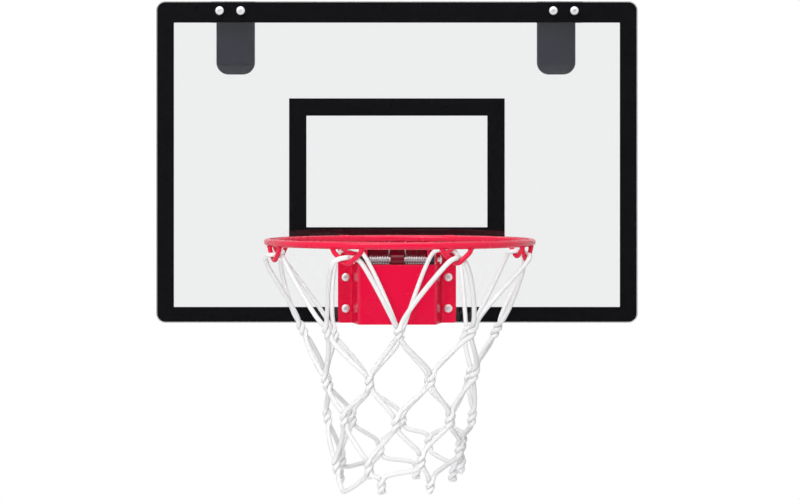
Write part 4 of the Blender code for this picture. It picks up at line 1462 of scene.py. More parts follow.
@dataclass
class Hanger:
    """One strap bent over the door, with its foam pads."""

    shop: Workshop
    side: Side
    thickness: float = 2.5 * MM
    bend: float = 2.0 * MM
    arm_corner: float = 12.0 * MM
    flange_corner: float = 1.5 * MM
    edge: float = 0.45 * MM
    hole: float = 2.3 * MM
    nut_room: float = 5.0 * MM
    pad_edge: float = 1.1 * MM
    pad_corner: float = 2.0 * MM

    def bolts(self) -> list[Vector]:
        """Middle of each screw that holds this hanger."""
        first = 1 + self.side.value
        return [centre_of(node) for node in numbered("hanger_bolt")[first:first + 2]]

    def build(self) -> None:
        """Make the strap and its pads."""
        self.build_strap()
        self.build_front_pad()
        radii = [self.pad_corner, self.pad_corner, self.pad_edge, self.pad_edge]
        node = self.side.node("rear_pad")
        self.shop.add_pad(node, front_of(node, radii), self.pad_edge)

    def build_strap(self) -> None:
        """The steel strap, bent from a flat blank."""
        node = self.side.node("hanger")
        low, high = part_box(node)
        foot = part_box(self.side.node("front_pad"))[0].z
        outside = [(low.y, foot), (low.y, high.z), (high.y, high.z), (high.y, low.z)]
        line = BentLine(moved(outside, -self.thickness / 2, False), self.bend + self.thickness / 2)
        half = (high.x - low.x) / 2
        middle = (high.x + low.x) / 2
        radii = [self.flange_corner, self.arm_corner, self.arm_corner, self.flange_corner]
        blank = rounded_box((0.0, -half), (line.length, half), radii, 12)
        holes = [circle(self.hole, 32, (bolt.z - foot, bolt.x - middle)) for bolt in self.bolts()]
        shape = plate(Axis.Z, blank, -self.thickness / 2, self.thickness / 2, self.edge, holes)
        press(shape, line, lambda y, z, x: Vector((x + middle, y, z)))
        self.shop.add("steel_" + node, shape, "black_metal", [node])

    def build_front_pad(self) -> None:
        """The foam between the flange and the door, with room for the nuts."""
        node = self.side.node("front_pad")
        low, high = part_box(node)
        outline: list[Pair] = [(low.x, high.z), (low.x, low.z), (high.x, low.z), (high.x, high.z)]
        for bolt in reversed(self.bolts()):
            start = math.degrees(math.asin((high.z - bolt.z) / self.nut_room))
            outline += arc(bolt.xz, self.nut_room, start, -180 - start, 24)
        self.shop.add_pad(node, outline, self.pad_edge)


@dataclass
class Bumpers:
    """The foam strips behind the lower border."""

    shop: Workshop
    edge: float = 1.6 * MM
    corner: float = 2.0 * MM

    def build(self) -> None:
        """Make both strips."""
        for node in (side.node("bumper") for side in Side):
            self.shop.add_pad(node, front_of(node, self.corner), self.edge)


@dataclass
class Hardware:
    """The screws, nuts and washers: one of each kind is made, then put at every place."""

    shop: Workshop
    thread: float = 2.0 * MM
    pitch: float = 0.7 * MM
    thread_depth: float = 0.3 * MM
    head: float = 4.0 * MM
    head_height: float = 2.6 * MM
    head_side: float = 0.9 * MM
    head_rim: float = 0.35 * MM
    shoulder: float = 0.2 * MM
    recess_length: float = 4.6 * MM
    recess_width: float = 0.95 * MM
    recess_depth: float = 1.5 * MM
    nut_flats: float = 7.0 * MM
    nut_bore: float = 2.15 * MM
    washer_bore: float = 2.2 * MM
    washer_round: float = 0.25 * MM
    sides: int = 40

    def build(self) -> None:
        """Make every fastener."""
        for number, kind in enumerate(("hanger", "bracket")):
            self.put(f"{kind}_screws", self.screw(size_of(f"{kind}_bolt_1").y), f"{kind}_bolt", 3 + number)
            self.put(f"{kind}_nuts", self.nut(size_of(f"{kind}_nut_1").y), f"{kind}_nut", 8 + number)
        size = size_of("bracket_washer_1")
        self.put("plain_washers", self.washer(size.x / 2, size.y), "bracket_washer", 21)

    def put(self, name: str, fastener: Object, kind: str, seed: int) -> None:
        """Put a copy of a fastener where each model node of one kind has its front.

        Args:
            name: The piece's name.
            fastener: The fastener, its front at the origin, which is removed.
            kind: Kind of the model nodes.
            seed: Seed of the turns.
        """
        nodes = numbered(kind)
        mesh = bpy.data.meshes.new(name)
        spots = [(centre_of(node).x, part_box(node)[0].y, centre_of(node).z) for node in nodes]
        mesh.from_pydata(spots, [], [])
        values = {"Fastener": fastener, "Material": self.shop.palette["zinc"], "Seed": seed}
        piece = run_tree(add_object(name, mesh), self.shop.fasteners, values)
        bpy.data.objects.remove(fastener, do_unlink=True)
        self.shop.place(piece, "zinc", nodes)

    def head_profile(self) -> list[Pair]:
        """The pan head from its crown to its seat, as (radius, depth).

        Returns:
            Its profile.
        """
        seat, side, rim = self.head_height, self.head_side, self.head_rim
        profile = [(0.0, 0.0)]
        for turn in range(75, 0, -15):
            share = math.radians(turn)
            radius = (self.head - rim) * math.cos(share) + rim * (1 - turn / 90)
            profile.append((radius, (seat - side) * (1 - math.sin(share))))
        profile += [(self.head, seat - side), (self.head, seat - rim / 2), (self.head - rim / 2, seat)]
        return profile

    def screw(self, length: float) -> Object:
        """A pan-head screw with a cross recess and a real thread, its crown at the origin.

        Args:
            length: Its whole length.

        Returns:
            The screw.
        """
        shape = bmesh.new()
        shoulder = self.head_height + self.shoulder
        tip = length - self.pitch
        profile = [*self.head_profile(), (self.thread, self.head_height)]
        rings = [add_ring(shape, Axis.Y, radius, depth, self.sides) for radius, depth in profile]
        steps = math.ceil((tip - shoulder) / (self.pitch / 6))
        for row in range(steps + 1):
            depth = shoulder + (tip - shoulder) * row / steps
            ring = []
            for number in range(self.sides):
                share = number / self.sides
                phase = (depth / self.pitch + share) % 1.0
                radius = self.thread - self.thread_depth * abs(2 * phase - 1)
                turn = math.tau * share
                ring.append(shape.verts.new((radius * math.cos(turn), depth, radius * math.sin(turn))))
            rings.append(ring)
        for radius in (self.thread - 1.6 * self.thread_depth, 0.0):
            rings.append(add_ring(shape, Axis.Y, radius, length, self.sides))
        bridge(shape, rings)
        screw = make_piece("screw", shape)
        cut(screw, self.cross_tool())
        screw.data.set_sharp_from_angle(angle=SHARP)
        return screw

    def cross_tool(self) -> BMesh:
        """The tapered cross that its driver leaves in the head.

        Returns:
            The cutting tool's mesh.
        """
        tool = bmesh.new()
        levels = []
        for depth, length, width in (
            (-MM, self.recess_length / 2, self.recess_width / 2),
            (self.recess_depth, 0.45 * self.recess_length / 2, 0.6 * self.recess_width / 2),
        ):
            level = []
            for turn in (quarter * math.pi / 2 for quarter in range(4)):
                for u, v in ((length, width), (width, width), (width, length)):
                    across = u * math.cos(turn) - v * math.sin(turn)
                    level.append(tool.verts.new((across, depth, u * math.sin(turn) + v * math.cos(turn))))
            levels.append(level)
        bridge(tool, levels)
        for level in levels:
            tool.faces.new(level)
        return tool

    def nut(self, height: float) -> Object:
        """A hexagon nut with chamfered corners and a countersunk bore, its front at the origin.

        Args:
            height: Its height.

        Returns:
            The nut.
        """
        corner = self.nut_flats / math.sqrt(3)
        bore = circle(self.nut_bore, 32)
        nut = make_piece("nut", plate(Axis.Y, circle(corner, 6), 0.0, height, 0.15 * MM, [bore], 2))
        face = self.nut_flats / 2 - 0.1 * MM
        wide = corner + 0.02 * MM
        slope = (wide - face) * math.tan(math.radians(30))
        past = 0.05 * MM
        profile = [(0.0, -past), (face, -past), (wide, slope), (wide, height - slope)]
        profile += [(face, height + past), (0.0, height + past)]
        cut(nut, turned(Axis.Y, profile, 64), "INTERSECT")
        nut.data.set_sharp_from_angle(angle=SHARP)
        return nut

    def washer(self, radius: float, height: float) -> Object:
        """A plain washer with one rounded and one sharp side, its front at the origin.

        Args:
            radius: Its outer radius.
            height: Its thickness.

        Returns:
            The washer.
        """
        soft = self.washer_round
        bevel = 0.1 * MM
        bore = self.washer_bore
        profile = [(bore + bevel, 0.0), (radius - bevel / 2, 0.0), (radius, bevel / 2)]
        profile += arc((radius - soft, height - soft), soft, 0, 90, 3)
        profile += [(bore + bevel, height), (bore, height - bevel), (bore, bevel)]
        return make_piece("washer", turned(Axis.Y, profile, 48, closed=True))


@dataclass
class RimBracket:
    """The pressed bracket on the sheet, with the pin, its clip and the bushes."""

    shop: Workshop
    steel: float = 2.0 * MM
    flange: float = 13.0 * MM
    panel: float = 73.0 * MM
    panel_gap: float = 0.3 * MM
    bend: float = 2.6 * MM
    ear: float = 8.0 * MM
    notch: float = 3.0 * MM
    flange_corner: float = 2.5 * MM
    panel_corner: float = 1.5 * MM
    nose_corner: float = 0.8 * MM
    edge: float = 0.4 * MM
    hole: float = 2.3 * MM
    pin_hole: float = 2.8 * MM
    pin: float = 2.4 * MM
    pin_head: float = 2.0 * MM
    clip_opening: float = 150.0
    clip_inside: float = 3.3 * MM
    clip_lug: float = 0.6 * MM
    clip_edge: float = 0.12 * MM

    def build(self) -> None:
        """Make the bracket and what turns in it."""
        self.axis = (self.shop.hinge.y, self.shop.hinge.z)
        self.build_body()
        self.build_pin()
        self.build_clip()
        for side in Side:
            self.build_bush(side.node("hinge_bush"))

    def build_body(self) -> None:
        """The pressed body: flanges, splayed walls with ears, and the front panel under the springs."""
        low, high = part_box("rim_bracket")
        hinge = self.shop.hinge
        face = high.y - self.steel
        root = high.x - self.flange
        right = [(self.panel / 2, low.y), (root, face), (high.x, face)]
        front = [(-x, y) for x, y in reversed(right)] + right
        line = BentLine(moved(front, self.steel / 2, False), self.bend)
        (flange_end, wall_start), (wall_end, _) = line.bends[:2]
        lean = math.hypot(root - self.panel / 2, low.y - face) / (face - low.y)
        pin_along = wall_start + (line.at(wall_start)[0].y - hinge.y) * lean
        ear_top = hinge.z + self.ear
        panel_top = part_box("torsion_spring_left")[0].z - self.panel_gap
        nose = [point for point in arc((pin_along, hinge.z), self.ear, 90, 15, 10) if point[0] < wall_end]
        left = [(0.0, high.z), (flange_end, high.z), (flange_end, ear_top), *nose]
        left += [(wall_end, nose[-1][1]), (wall_end, panel_top)]
        radii = [self.flange_corner, self.panel_corner, self.notch, *[0.0] * len(nose)]
        radii += [self.nose_corner, self.panel_corner]
        mirrored = [(line.length - u, v) for u, v in reversed(left)]
        corners = left + mirrored + [(line.length, low.z), (0.0, low.z)]
        outline = fillet(corners, radii + radii[::-1] + [self.flange_corner] * 2, 5)[::-1]
        bolts = [centre_of(node) for node in numbered("bracket_bolt")]
        holes = [circle(self.hole, 32, (self.unrolled(line, bolt.x), bolt.z)) for bolt in bolts]
        holes += [circle(self.pin_hole, 32, (u, hinge.z)) for u in (pin_along, line.length - pin_along)]
        shape = plate(Axis.Z, outline, -self.steel / 2, self.steel / 2, self.edge, holes)
        press(shape, line, lambda x, y, z: Vector((x, y, z)))
        self.shop.add("pressed_bracket", shape, "red_metal", ["rim_bracket"])

    def unrolled(self, line: BentLine, x: float) -> float:
        """How far along the blank a place on a flange lies."""
        return x - line.at(0.0)[0].x if x < 0 else line.length - (line.at(line.length)[0].x - x)

    def build_pin(self) -> None:
        """The hinge pin with a domed head and a bevelled end."""
        low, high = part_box("hinge_pin")
        radius = self.pin
        head = (high.z - low.z) / 2
        seat = high.x - self.pin_head
        bevel, neck, soft, step = 0.6 * MM, 0.2 * MM, 0.15 * MM, 0.5 * MM
        profile = [(0.0, low.x), (radius - bevel, low.x), (radius, low.x + bevel), (radius, seat - neck)]
        profile += [(radius + neck / 2, seat), (head - soft, seat), (head, seat + soft)]
        dome = high.x - seat - step
        for angle in range(0, 90, 12):
            turn = math.radians(angle)
            profile.append((head * math.cos(turn), seat + step + dome * math.sin(turn)))
        shape = turned(Axis.X, [*profile, (0.0, high.x)], 40, self.axis)
        self.shop.add("turned_hinge_pin", shape, "zinc", ["hinge_pin"])

    def build_clip(self) -> None:
        """The spring clip in the pin's groove, open at one side with three inner lugs."""
        low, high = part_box("pin_clip")
        opening, steps = self.clip_opening, 40
        outline = arc(self.axis, (high.z - low.z) / 2, -opening, opening, steps)
        for step in range(steps + 1):
            angle = math.radians(opening - 2 * opening * step / steps)
            reach = self.clip_inside - self.clip_lug * max(math.cos(3 * angle), 0.0) ** 4
            outline.append((self.axis[0] + reach * math.cos(angle), self.axis[1] + reach * math.sin(angle)))
        shape = plate(Axis.X, outline, low.x, high.x, self.clip_edge, steps=2)
        self.shop.add("spring_clip", shape, "zinc", ["pin_clip"])

    def build_bush(self, node: str) -> None:
        """One nylon bush with a bore for the pin.

        Args:
            node: The model node that it stands for.
        """
        low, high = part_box(node)
        radius, bore = (high.z - low.z) / 2, self.pin_hole
        soft, bevel = 0.4 * MM, 0.2 * MM
        profile = [
            (bore + bevel, low.x), (radius - soft, low.x), (radius, low.x + soft), (radius, high.x - soft),
            (radius - soft, high.x), (bore + bevel, high.x), (bore, high.x - bevel), (bore, low.x + bevel),
        ]
        self.shop.add("nylon_" + node, turned(Axis.X, profile, 40, self.axis, True), "plastic", [node])


@dataclass
class TorsionSpring:
    """One torsion spring: a leg behind the pin, close turns round it, and a leg over the panel."""

    shop: Workshop
    side: Side
    wire: float = 1.6 * MM
    radius: float = 3.7 * MM
    turns: float = 8.25
    points_per_turn: int = 28

    def build(self) -> None:
        """Make the spring."""
        node = self.side.node("torsion_spring")
        piece = self.shop.sweep(node + "_coil", [self.line(node)], self.wire / 2, "spring_steel", 14)
        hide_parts(node)
        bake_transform(piece)
        LOG.info("%s bends between backboard and rim", piece.name)

    def line(self, node: str) -> list[Vector]:
        """The wire's middle line.

        Args:
            node: The model node that it stands for, which gives its ends.

        Returns:
            Its points from the upper end to the front end.
        """
        low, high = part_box(node)
        hinge = self.shop.hinge
        start, end = (low.x, high.x) if self.side is Side.RIGHT else (high.x, low.x)
        inner = start + self.side.value * self.wire / 2
        outer = end - self.side.value * self.wire / 2
        total = round(self.turns * self.points_per_turn)
        points = [Vector((inner, hinge.y + self.radius, z)) for z in (high.z, (high.z + hinge.z) / 2)]
        for step in range(total + 1):
            turn = -math.tau * self.turns * step / total
            across = Vector((0, math.cos(turn), math.sin(turn))) * self.radius
            points.append(Vector((inner + (outer - inner) * step / total, hinge.y, hinge.z)) + across)
        last = points[-1]
        return points + [Vector((last.x, y, last.z)) for y in ((last.y + low.y) / 2, low.y)]


@dataclass
class Rim:
    """The ring, the plate that carries it, its welds and the net's hooks."""

    shop: Workshop
    plate: float = 3.0 * MM
    plate_edge: float = 0.5 * MM
    apron: float = 71.0 * MM
    apron_back: float = 4.8 * MM
    apron_corner: float = 2.0 * MM
    ring_gap: float = 0.1 * MM
    sheet: float = 2.0 * MM
    overlap: float = 0.5 * MM
    knuckle: float = 6.3 * MM
    knuckle_width: float = 13.0 * MM
    cheek: float = 30.0 * MM
    bore: float = 2.75 * MM
    weld: float = 1.3 * MM
    weld_step: float = 1.5 * MM
    weld_ripple: float = 0.28
    weld_sink: float = 0.25 * MM
    weld_ends: Pair = (2.0 * MM, 1.5 * MM)
    hooks: int = 8
    hook_wire: float = 4.0 * MM
    hook_width: float = 25.0 * MM
    hook_bend: float = 5.5 * MM
    knee: float = 3.0 * MM
    knee_rise: float = 2.2 * MM
    knee_hold: float = 4.0 * MM
    collar: float = 1.7 * MM
    collar_weld: float = 0.9 * MM
    collar_step: float = 1.3 * MM
    collar_ripple: float = 0.25
    collar_drop: float = 0.1 * MM

    def __post_init__(self) -> None:
        """Read the ring and the plate from the frame."""
        size = size_of("rim_ring")
        self.centre = centre_of("rim_ring")
        self.rod = size.z
        self.radius = (size.x - self.rod) / 2
        self.half, self.back, self.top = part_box("rim_plate")[1]
        self.under = self.top - self.plate
        self.front = self.shop.hinge.y + self.apron_back
        self.hook_low = self.shop.joints["net_hang"].z

    def build(self) -> None:
        """Make everything that tilts."""
        turns = [math.tau * step / 256 for step in range(256)]
        line = [self.centre + Vector((math.sin(t), -math.cos(t), 0)) * self.radius for t in turns]
        ring = self.shop.sweep("steel_ring", [line], self.rod / 2, "red_metal", 28, True)
        self.shop.place(ring, "red_metal", ["rim_ring"], "rim")
        self.build_plate()
        self.build_welds()
        self.build_hooks()

    def build_plate(self) -> None:
        """The top plate, the apron behind the hinge, two cheeks and the knuckle, welded together."""
        half = self.half
        reach = self.radius + self.rod / 2 + self.ring_gap
        sweep = math.degrees(math.asin(half / reach))
        edge = arc(self.centre.xy, reach, 90 - sweep, 90 + sweep, 48)
        outline = [(half, self.back), *edge, (-half, self.back)][::-1]
        shape = plate(Axis.Z, outline, self.under, self.top, self.plate_edge)
        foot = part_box("rim_plate")[0].z
        top = self.under + self.overlap
        radii = [self.apron_corner, self.apron_corner, 0, 0]
        apron = rounded_box((-self.apron / 2, foot), (self.apron / 2, top), radii)
        plate(Axis.Y, apron, self.front, self.front + self.sheet, self.plate_edge, shape=shape)
        back = self.front + self.sheet / 2
        hinge = self.shop.hinge
        axis = (hinge.y, hinge.z)
        hole = circle(self.bore, 32, axis)
        web = [point for point in arc(axis, self.knuckle, 180, 360, 32) if point[0] < back]
        cheek = [*web, (back, web[-1][1]), (back, top), (hinge.y - self.knuckle, top)]
        for side in Side:
            faces = sorted((side.value * (self.cheek - self.sheet), side.value * self.cheek))
            plate(Axis.X, cheek, *faces, self.plate_edge, [hole], shape=shape)
        nose = arc(axis, self.knuckle, 90, 270, 32)
        knuckle = [(back, hinge.z + self.knuckle), *nose, (back, hinge.z - self.knuckle)]
        half = self.knuckle_width / 2
        plate(Axis.X, knuckle, -half, half, self.plate_edge, [hole], shape=shape)
        self.shop.add("welded_rim_plate", shape, "red_metal", ["rim_plate"], "rim")

    def build_welds(self) -> None:
        """Weld beads: ring to plate above and below, and the apron's two faces to the plate."""
        reach = self.radius + self.rod / 2
        sweep = math.degrees(math.asin((self.half - self.weld_ends[0]) / reach))
        ways = [Vector((x, y, 0)) for x, y in arc((0.0, 0.0), 1.0, 90 - sweep, 90 + sweep, 220)]
        lines = []
        for height in (self.top, self.under):
            middle = Vector((self.centre.x, self.centre.y, height))
            lines.append([middle + way * (reach - self.weld_sink) for way in ways])
        span = self.apron / 2 - self.weld_ends[1]
        across = [span * (step / 70 - 1) for step in range(141)]
        for depth in (self.front, self.front + self.sheet):
            lines.append([Vector((x, depth, self.under)) for x in across])
        beads = self.shop.sweep(
            "weld_beads", lines, self.weld, "red_metal", 12, ripple=self.weld_ripple, step=self.weld_step,
        )
        self.shop.place(beads, "red_metal", body="rim")

    def hook_half(self) -> list[Pair]:
        """Half of a hook as (along the ring, height over it), from its lowest point to its weld.

        Returns:
            The points.
        """
        top = Vector((self.hook_width / 2, -(self.rod + self.hook_wire) / 2))
        centre = Vector((0, self.hook_low - self.centre.z + self.hook_bend))
        away = top - centre
        lean = math.atan2(away.y, away.x) - math.acos(self.hook_bend / away.length)
        bottom = arc(centre, self.hook_bend, -90, math.degrees(lean), 12)
        foot = Vector(bottom[-1])
        rise = (top - foot).normalized()
        knee = top - rise * self.knee
        end = top + Vector((0, self.knee_rise))
        shoulder = bow(knee, rise * self.knee_hold, end, Vector((0, self.knee_hold)), 6)
        return [*bottom, foot.lerp(knee, 0.5), *shoulder]

    def build_hooks(self) -> None:
        """The wire hooks round the ring, and the weld collar at each of their ends."""
        half = self.hook_half()
        hook = [Vector((t, 0, z)) for t, z in [(-t, z) for t, z in reversed(half[1:])] + half]
        nodes = [f"net_hook_{number + 1}" for number in range(self.hooks)]
        values = {"Wire Radius": self.hook_wire / 2, "Sides": 20, "Ripple Step": 1.0, "Ripple Depth": 0.0}
        self.put_round("wire_hooks", [hook], values, nodes)
        around = [Vector((x, y, 0)) for x, y in arc((0.0, 0.0), self.collar, 0, 360, 24)]
        collars = []
        for side in Side:
            middle = Vector((side.value * self.hook_width / 2, 0, -self.rod / 2 - self.collar_drop))
            collars.append([middle + point for point in around])
        values = {
            "Wire Radius": self.collar_weld, "Sides": 10, "Ripple Step": self.collar_step,
            "Ripple Depth": self.collar_ripple,
        }
        self.put_round("hook_welds", collars, values, [])

    def put_round(
        self, name: str, lines: Sequence[Sequence[Vector]], values: dict[str, Any], nodes: Sequence[str],
    ) -> None:
        """Put a wire shape at every hook's place round the ring.

        Args:
            name: The piece's name.
            lines: The wire's lines, with the ring's middle line at the origin.
            values: The wire's own inputs to the tree.
            nodes: Model nodes that the piece stands for.
        """
        common = {
            "Count": self.hooks, "First Share": 0.5, "Ring Radius": self.radius, "Centre": self.centre,
            "Material": self.shop.palette["red_metal"],
        }
        piece = run_tree(make_lines(name, lines), self.shop.round_ring, {**common, **values})
        self.shop.place(piece, "red_metal", nodes, "rim")


@dataclass
class Net:
    """The knotted net: eight cords, each hung over a hook, whose legs zigzag down to the tails."""

    shop: Workshop
    rim: Rim
    cord: float = 4.0 * MM
    drops: tuple[float, ...] = (71 * MM, 113 * MM, 147 * MM, 181 * MM, 201 * MM)
    rear_sags: tuple[float, ...] = (18 * MM, 17 * MM, 15 * MM, 4 * MM, 6.2 * MM)
    radii: tuple[float, ...] = (84 * MM, 67 * MM, 62 * MM, 57 * MM, 54 * MM)
    twists: tuple[float, ...] = (-1.5, -0.5, -3.5, -6.0, -17.0)
    slopes: tuple[float, ...] = (0.0, 0.05, 0.0, 0.15, 0.0)
    open_tip: int = 7
    short_tip: int = 2
    short_rise: float = 12 * MM
    hook_drop: float = 18 * MM
    crossing: float = 14.0 * MM
    swell: float = 0.25
    closeness: float = 0.98
    tail: float = 5.6 * MM
    other_tail: float = 0.7
    tail_pull: float = 0.3
    tail_holds: Pair = (3 * MM, 4 * MM)
    loop_drop: float = 9 * MM
    loop_half: float = 0.5 * MM
    saddle_gap: float = 0.5 * MM
    saddle_reach: tuple[float, float, float] = (9 * MM, 4.8 * MM, 3.2 * MM)
    saddle_leave: tuple[float, float, float] = (0.7, -0.1, 0.7)
    reversed_hook: int = 4
    rear_pull: float = 7.0 * MM
    sway: float = 1.2 * MM
    sway_scale: float = 31.0
    sway_seed: int = 1795688271
    bend: float = 0.4

    def build(self) -> None:
        """Make the net; its top stays on the hooks while the rest hangs."""
        piece = self.shop.sweep("cord_net", self.lines(), self.cord / 2, "white_cord", 12)
        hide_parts("net")
        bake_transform(piece)
        LOG.info("%s bends between rim and net", piece.name)

    def turn(self, row: int, number: int) -> float:
        """Angle of a crossing round the net; crossings of odd rows sit under the hooks."""
        shift = 0.5 if row % 2 else 0.0
        return math.tau * (number + shift) / self.rim.hooks + math.radians(self.twists[row])

    def drop(self, row: int, number: int) -> float:
        """How far a crossing hangs below the ring: rows slope or sag at the rear, one tip is drawn up.

        Args:
            row: Row from the top.
            number: Place in the row.

        Returns:
            The distance.
        """
        turn = self.turn(row, number)
        slope = self.slopes[row] * self.radii[row] * math.sin(turn)
        sag = self.rear_sags[row] * ((1 - math.cos(turn)) / 2) ** 2
        short = row == len(self.drops) - 1 and number == self.short_tip
        return self.drops[row] - slope + sag - (self.short_rise if short else 0.0)

    def spot(self, turn: float, radius: float, drop: float) -> Vector:
        """A point of the net from its angle, radius and drop below the ring."""
        return self.rim.centre + Vector((radius * math.sin(turn), -radius * math.cos(turn), -drop))

    def crossing_frame(self, row: int, number: int) -> tuple[Vector, Vector, Vector]:
        """A crossing's middle, its upward direction and its direction to the right.

        The rear one of the top row sits further in, clear of the bracket when the rim is tilted.

        Args:
            row: Row from the top.
            number: Place in the row.

        Returns:
            Middle, up and right.
        """
        turn = self.turn(row, number)
        above = (self.radii[row - 1], self.drops[row - 1]) if row else (self.rim.radius, self.hook_drop)
        below = min(row + 1, len(self.drops) - 1)
        rise = self.spot(turn, *above) - self.spot(turn, self.radii[below], self.drops[below])
        rear = row == 0 and number == self.rim.hooks // 2
        radius = self.radii[row] - (self.rear_pull if rear else 0.0)
        middle = self.spot(turn, radius, self.drop(row, number))
        middle = middle + noise_vector(middle * self.sway_scale) * self.sway
        return middle, rise.normalized(), Vector((math.cos(turn), math.sin(turn), 0))

    def strand(self, row: int, number: int, side: Side) -> list[Vector]:
        """One cord's way down through a crossing: a full turn round the other cord.

        Args:
            row: Row from the top.
            number: Place in the row.
            side: The side on which it comes in and goes out.

        Returns:
            Its points from top to bottom.
        """
        middle, up, right = self.crossing_frame(row, number)
        out = right.cross(up)
        steps = 14
        points = []
        for step in range(steps + 1):
            share = step / steps
            eased = 0.5 * share + 0.5 * (3 * share**2 - 2 * share**3)
            turn = math.tau * eased + (0 if side is Side.RIGHT else math.pi)
            swell = 1 + self.swell * abs(2 * share - 1) ** 3
            around = right * math.cos(turn) * swell + out * math.sin(turn)
            around = around * (self.cord / 2 * self.closeness)
            points.append(middle + up * self.crossing * (0.5 - share) + around)
        return points

    def leg(self, number: int, side: Side) -> list[Vector]:
        """One leg of a cord, from its first crossing down to its end.

        Args:
            number: The first crossing's place in its row.
            side: The side of the first crossing that it stays on.

        Returns:
            Its points.
        """
        last = len(self.drops) - 1
        points = self.strand(0, number, side)
        for row in range(1, last + 1):
            number = self.below(row - 1, number, side)
            side = Side(-side.value)
            if row == last and number == self.open_tip:
                return points
            points = self.join(points, self.strand(row, number, side))
        middle = self.crossing_frame(last, number)[0]
        inward = (middle - points[-1]) * self.tail_pull
        inward.z = 0
        end = middle + inward + DOWN * (self.tail if side is Side.RIGHT else self.other_tail * self.tail)
        leave, arrive = (DOWN * hold for hold in self.tail_holds)
        return points[:-2] + bow(points[-3], leave, end, arrive, 5)[1:]

    def below(self, row: int, number: int, side: Side) -> int:
        """Place in the next row of the crossing that a cord goes to from one side of a crossing."""
        step = (side.value - 1) // 2 + row % 2
        return (number + step) % self.rim.hooks

    def join(self, upper: list[Vector], lower: list[Vector]) -> list[Vector]:
        """Two stretches of one cord with a slack bow between them.

        Args:
            upper: Points down to the end of the upper stretch.
            lower: Points of the lower one.

        Returns:
            All points.
        """
        reach = (lower[0] - upper[-1]).length * self.bend
        leave = (upper[-1] - upper[-2]).normalized() * reach
        arrive = (lower[1] - lower[0]).normalized() * reach
        return upper + bow(upper[-1], leave, lower[0], arrive, 20)[1:-1] + lower

    def saddle(self, number: int) -> list[Vector]:
        """The cord's arch over a hook, from left to right, crossing the wire square to the ring.

        Args:
            number: The hook's place.

        Returns:
            Its points.
        """
        turn = math.tau * (number + 0.5) / self.rim.hooks
        outward = Vector((math.sin(turn), -math.cos(turn), 0))
        top = self.rim.centre + outward * self.rim.radius
        top.z = self.rim.hook_low + (self.rim.hook_wire + self.cord) / 2 + self.saddle_gap
        if number == self.reversed_hook:
            outward = -outward
        along = Vector((math.cos(turn), math.sin(turn), 0))
        aside, out, fall = self.saddle_reach
        left = top - along * aside + outward * out + DOWN * fall
        right = top + along * aside - outward * out + DOWN * fall
        aside, out, fall = self.saddle_leave
        leave = (along * aside - outward * out + DOWN * fall).normalized()
        arrive = (along * aside - outward * out - DOWN * fall).normalized()
        reach = (top - left).length
        climb = bow(left, arrive * reach, top, -outward * reach, 12)
        return climb + bow(top, -outward * reach, right, leave * reach, 12)[1:]

    def lines(self) -> list[list[Vector]]:
        """Middle lines of the eight cords; the two that share the open tip are one.

        Returns:
            The lines.
        """
        seed_set(self.sway_seed)
        cords = []
        for number in range(self.rim.hooks):
            rise = self.join(self.leg(number, Side.RIGHT)[::-1], self.saddle(number))
            cords.append(self.join(rise, self.leg((number + 1) % self.rim.hooks, Side.LEFT)))
        return self.close_tip(cords)

    def close_tip(self, cords: list[list[Vector]]) -> list[list[Vector]]:
        """Join the two cord ends that meet at the open tip with a hanging loop.

        Args:
            cords: The eight cords.

        Returns:
            Seven lines, one of them two cords long.
        """
        middle, _, right = self.crossing_frame(len(self.drops) - 1, self.open_tip)
        near = [min((cord[0] - middle).length, (cord[-1] - middle).length) for cord in cords]
        first, second = sorted(range(len(cords)), key=near.__getitem__)[:2]
        one, other = cords[first], cords[second]
        if (one[0] - middle).length < (one[-1] - middle).length:
            one = one[::-1]
        if (other[-1] - middle).length < (other[0] - middle).length:
            other = other[::-1]
        bottom = middle + DOWN * self.loop_drop
        way = right if (other[0] - one[-1]).dot(right) > 0 else -right
        loop = self.join(one, [bottom - way * self.loop_half, bottom + way * self.loop_half])
        rest = [cord for number, cord in enumerate(cords) if number not in (first, second)]
        return [self.join(loop, other), *rest]


# The picture


@dataclass(frozen=True)
class Lamp:
    """A square soft light that points at the hoop."""

    name: str
    place: tuple[float, float, float]
    size: float
    power: float
    mirrored: bool = True

    def build(self, target: Vector) -> None:
        """Add the light.

        Args:
            target: What it points at.
        """
        data = bpy.data.lights.new(self.name, "AREA")
        data.shape = "SQUARE"
        data.size = self.size
        data.energy = self.power
        light = add_object(self.name, data)
        light.location = self.place
        light.rotation_euler = (target - Vector(self.place)).to_track_quat("-Z", "Y").to_euler()
        light.visible_glossy = light.visible_transmission = self.mirrored


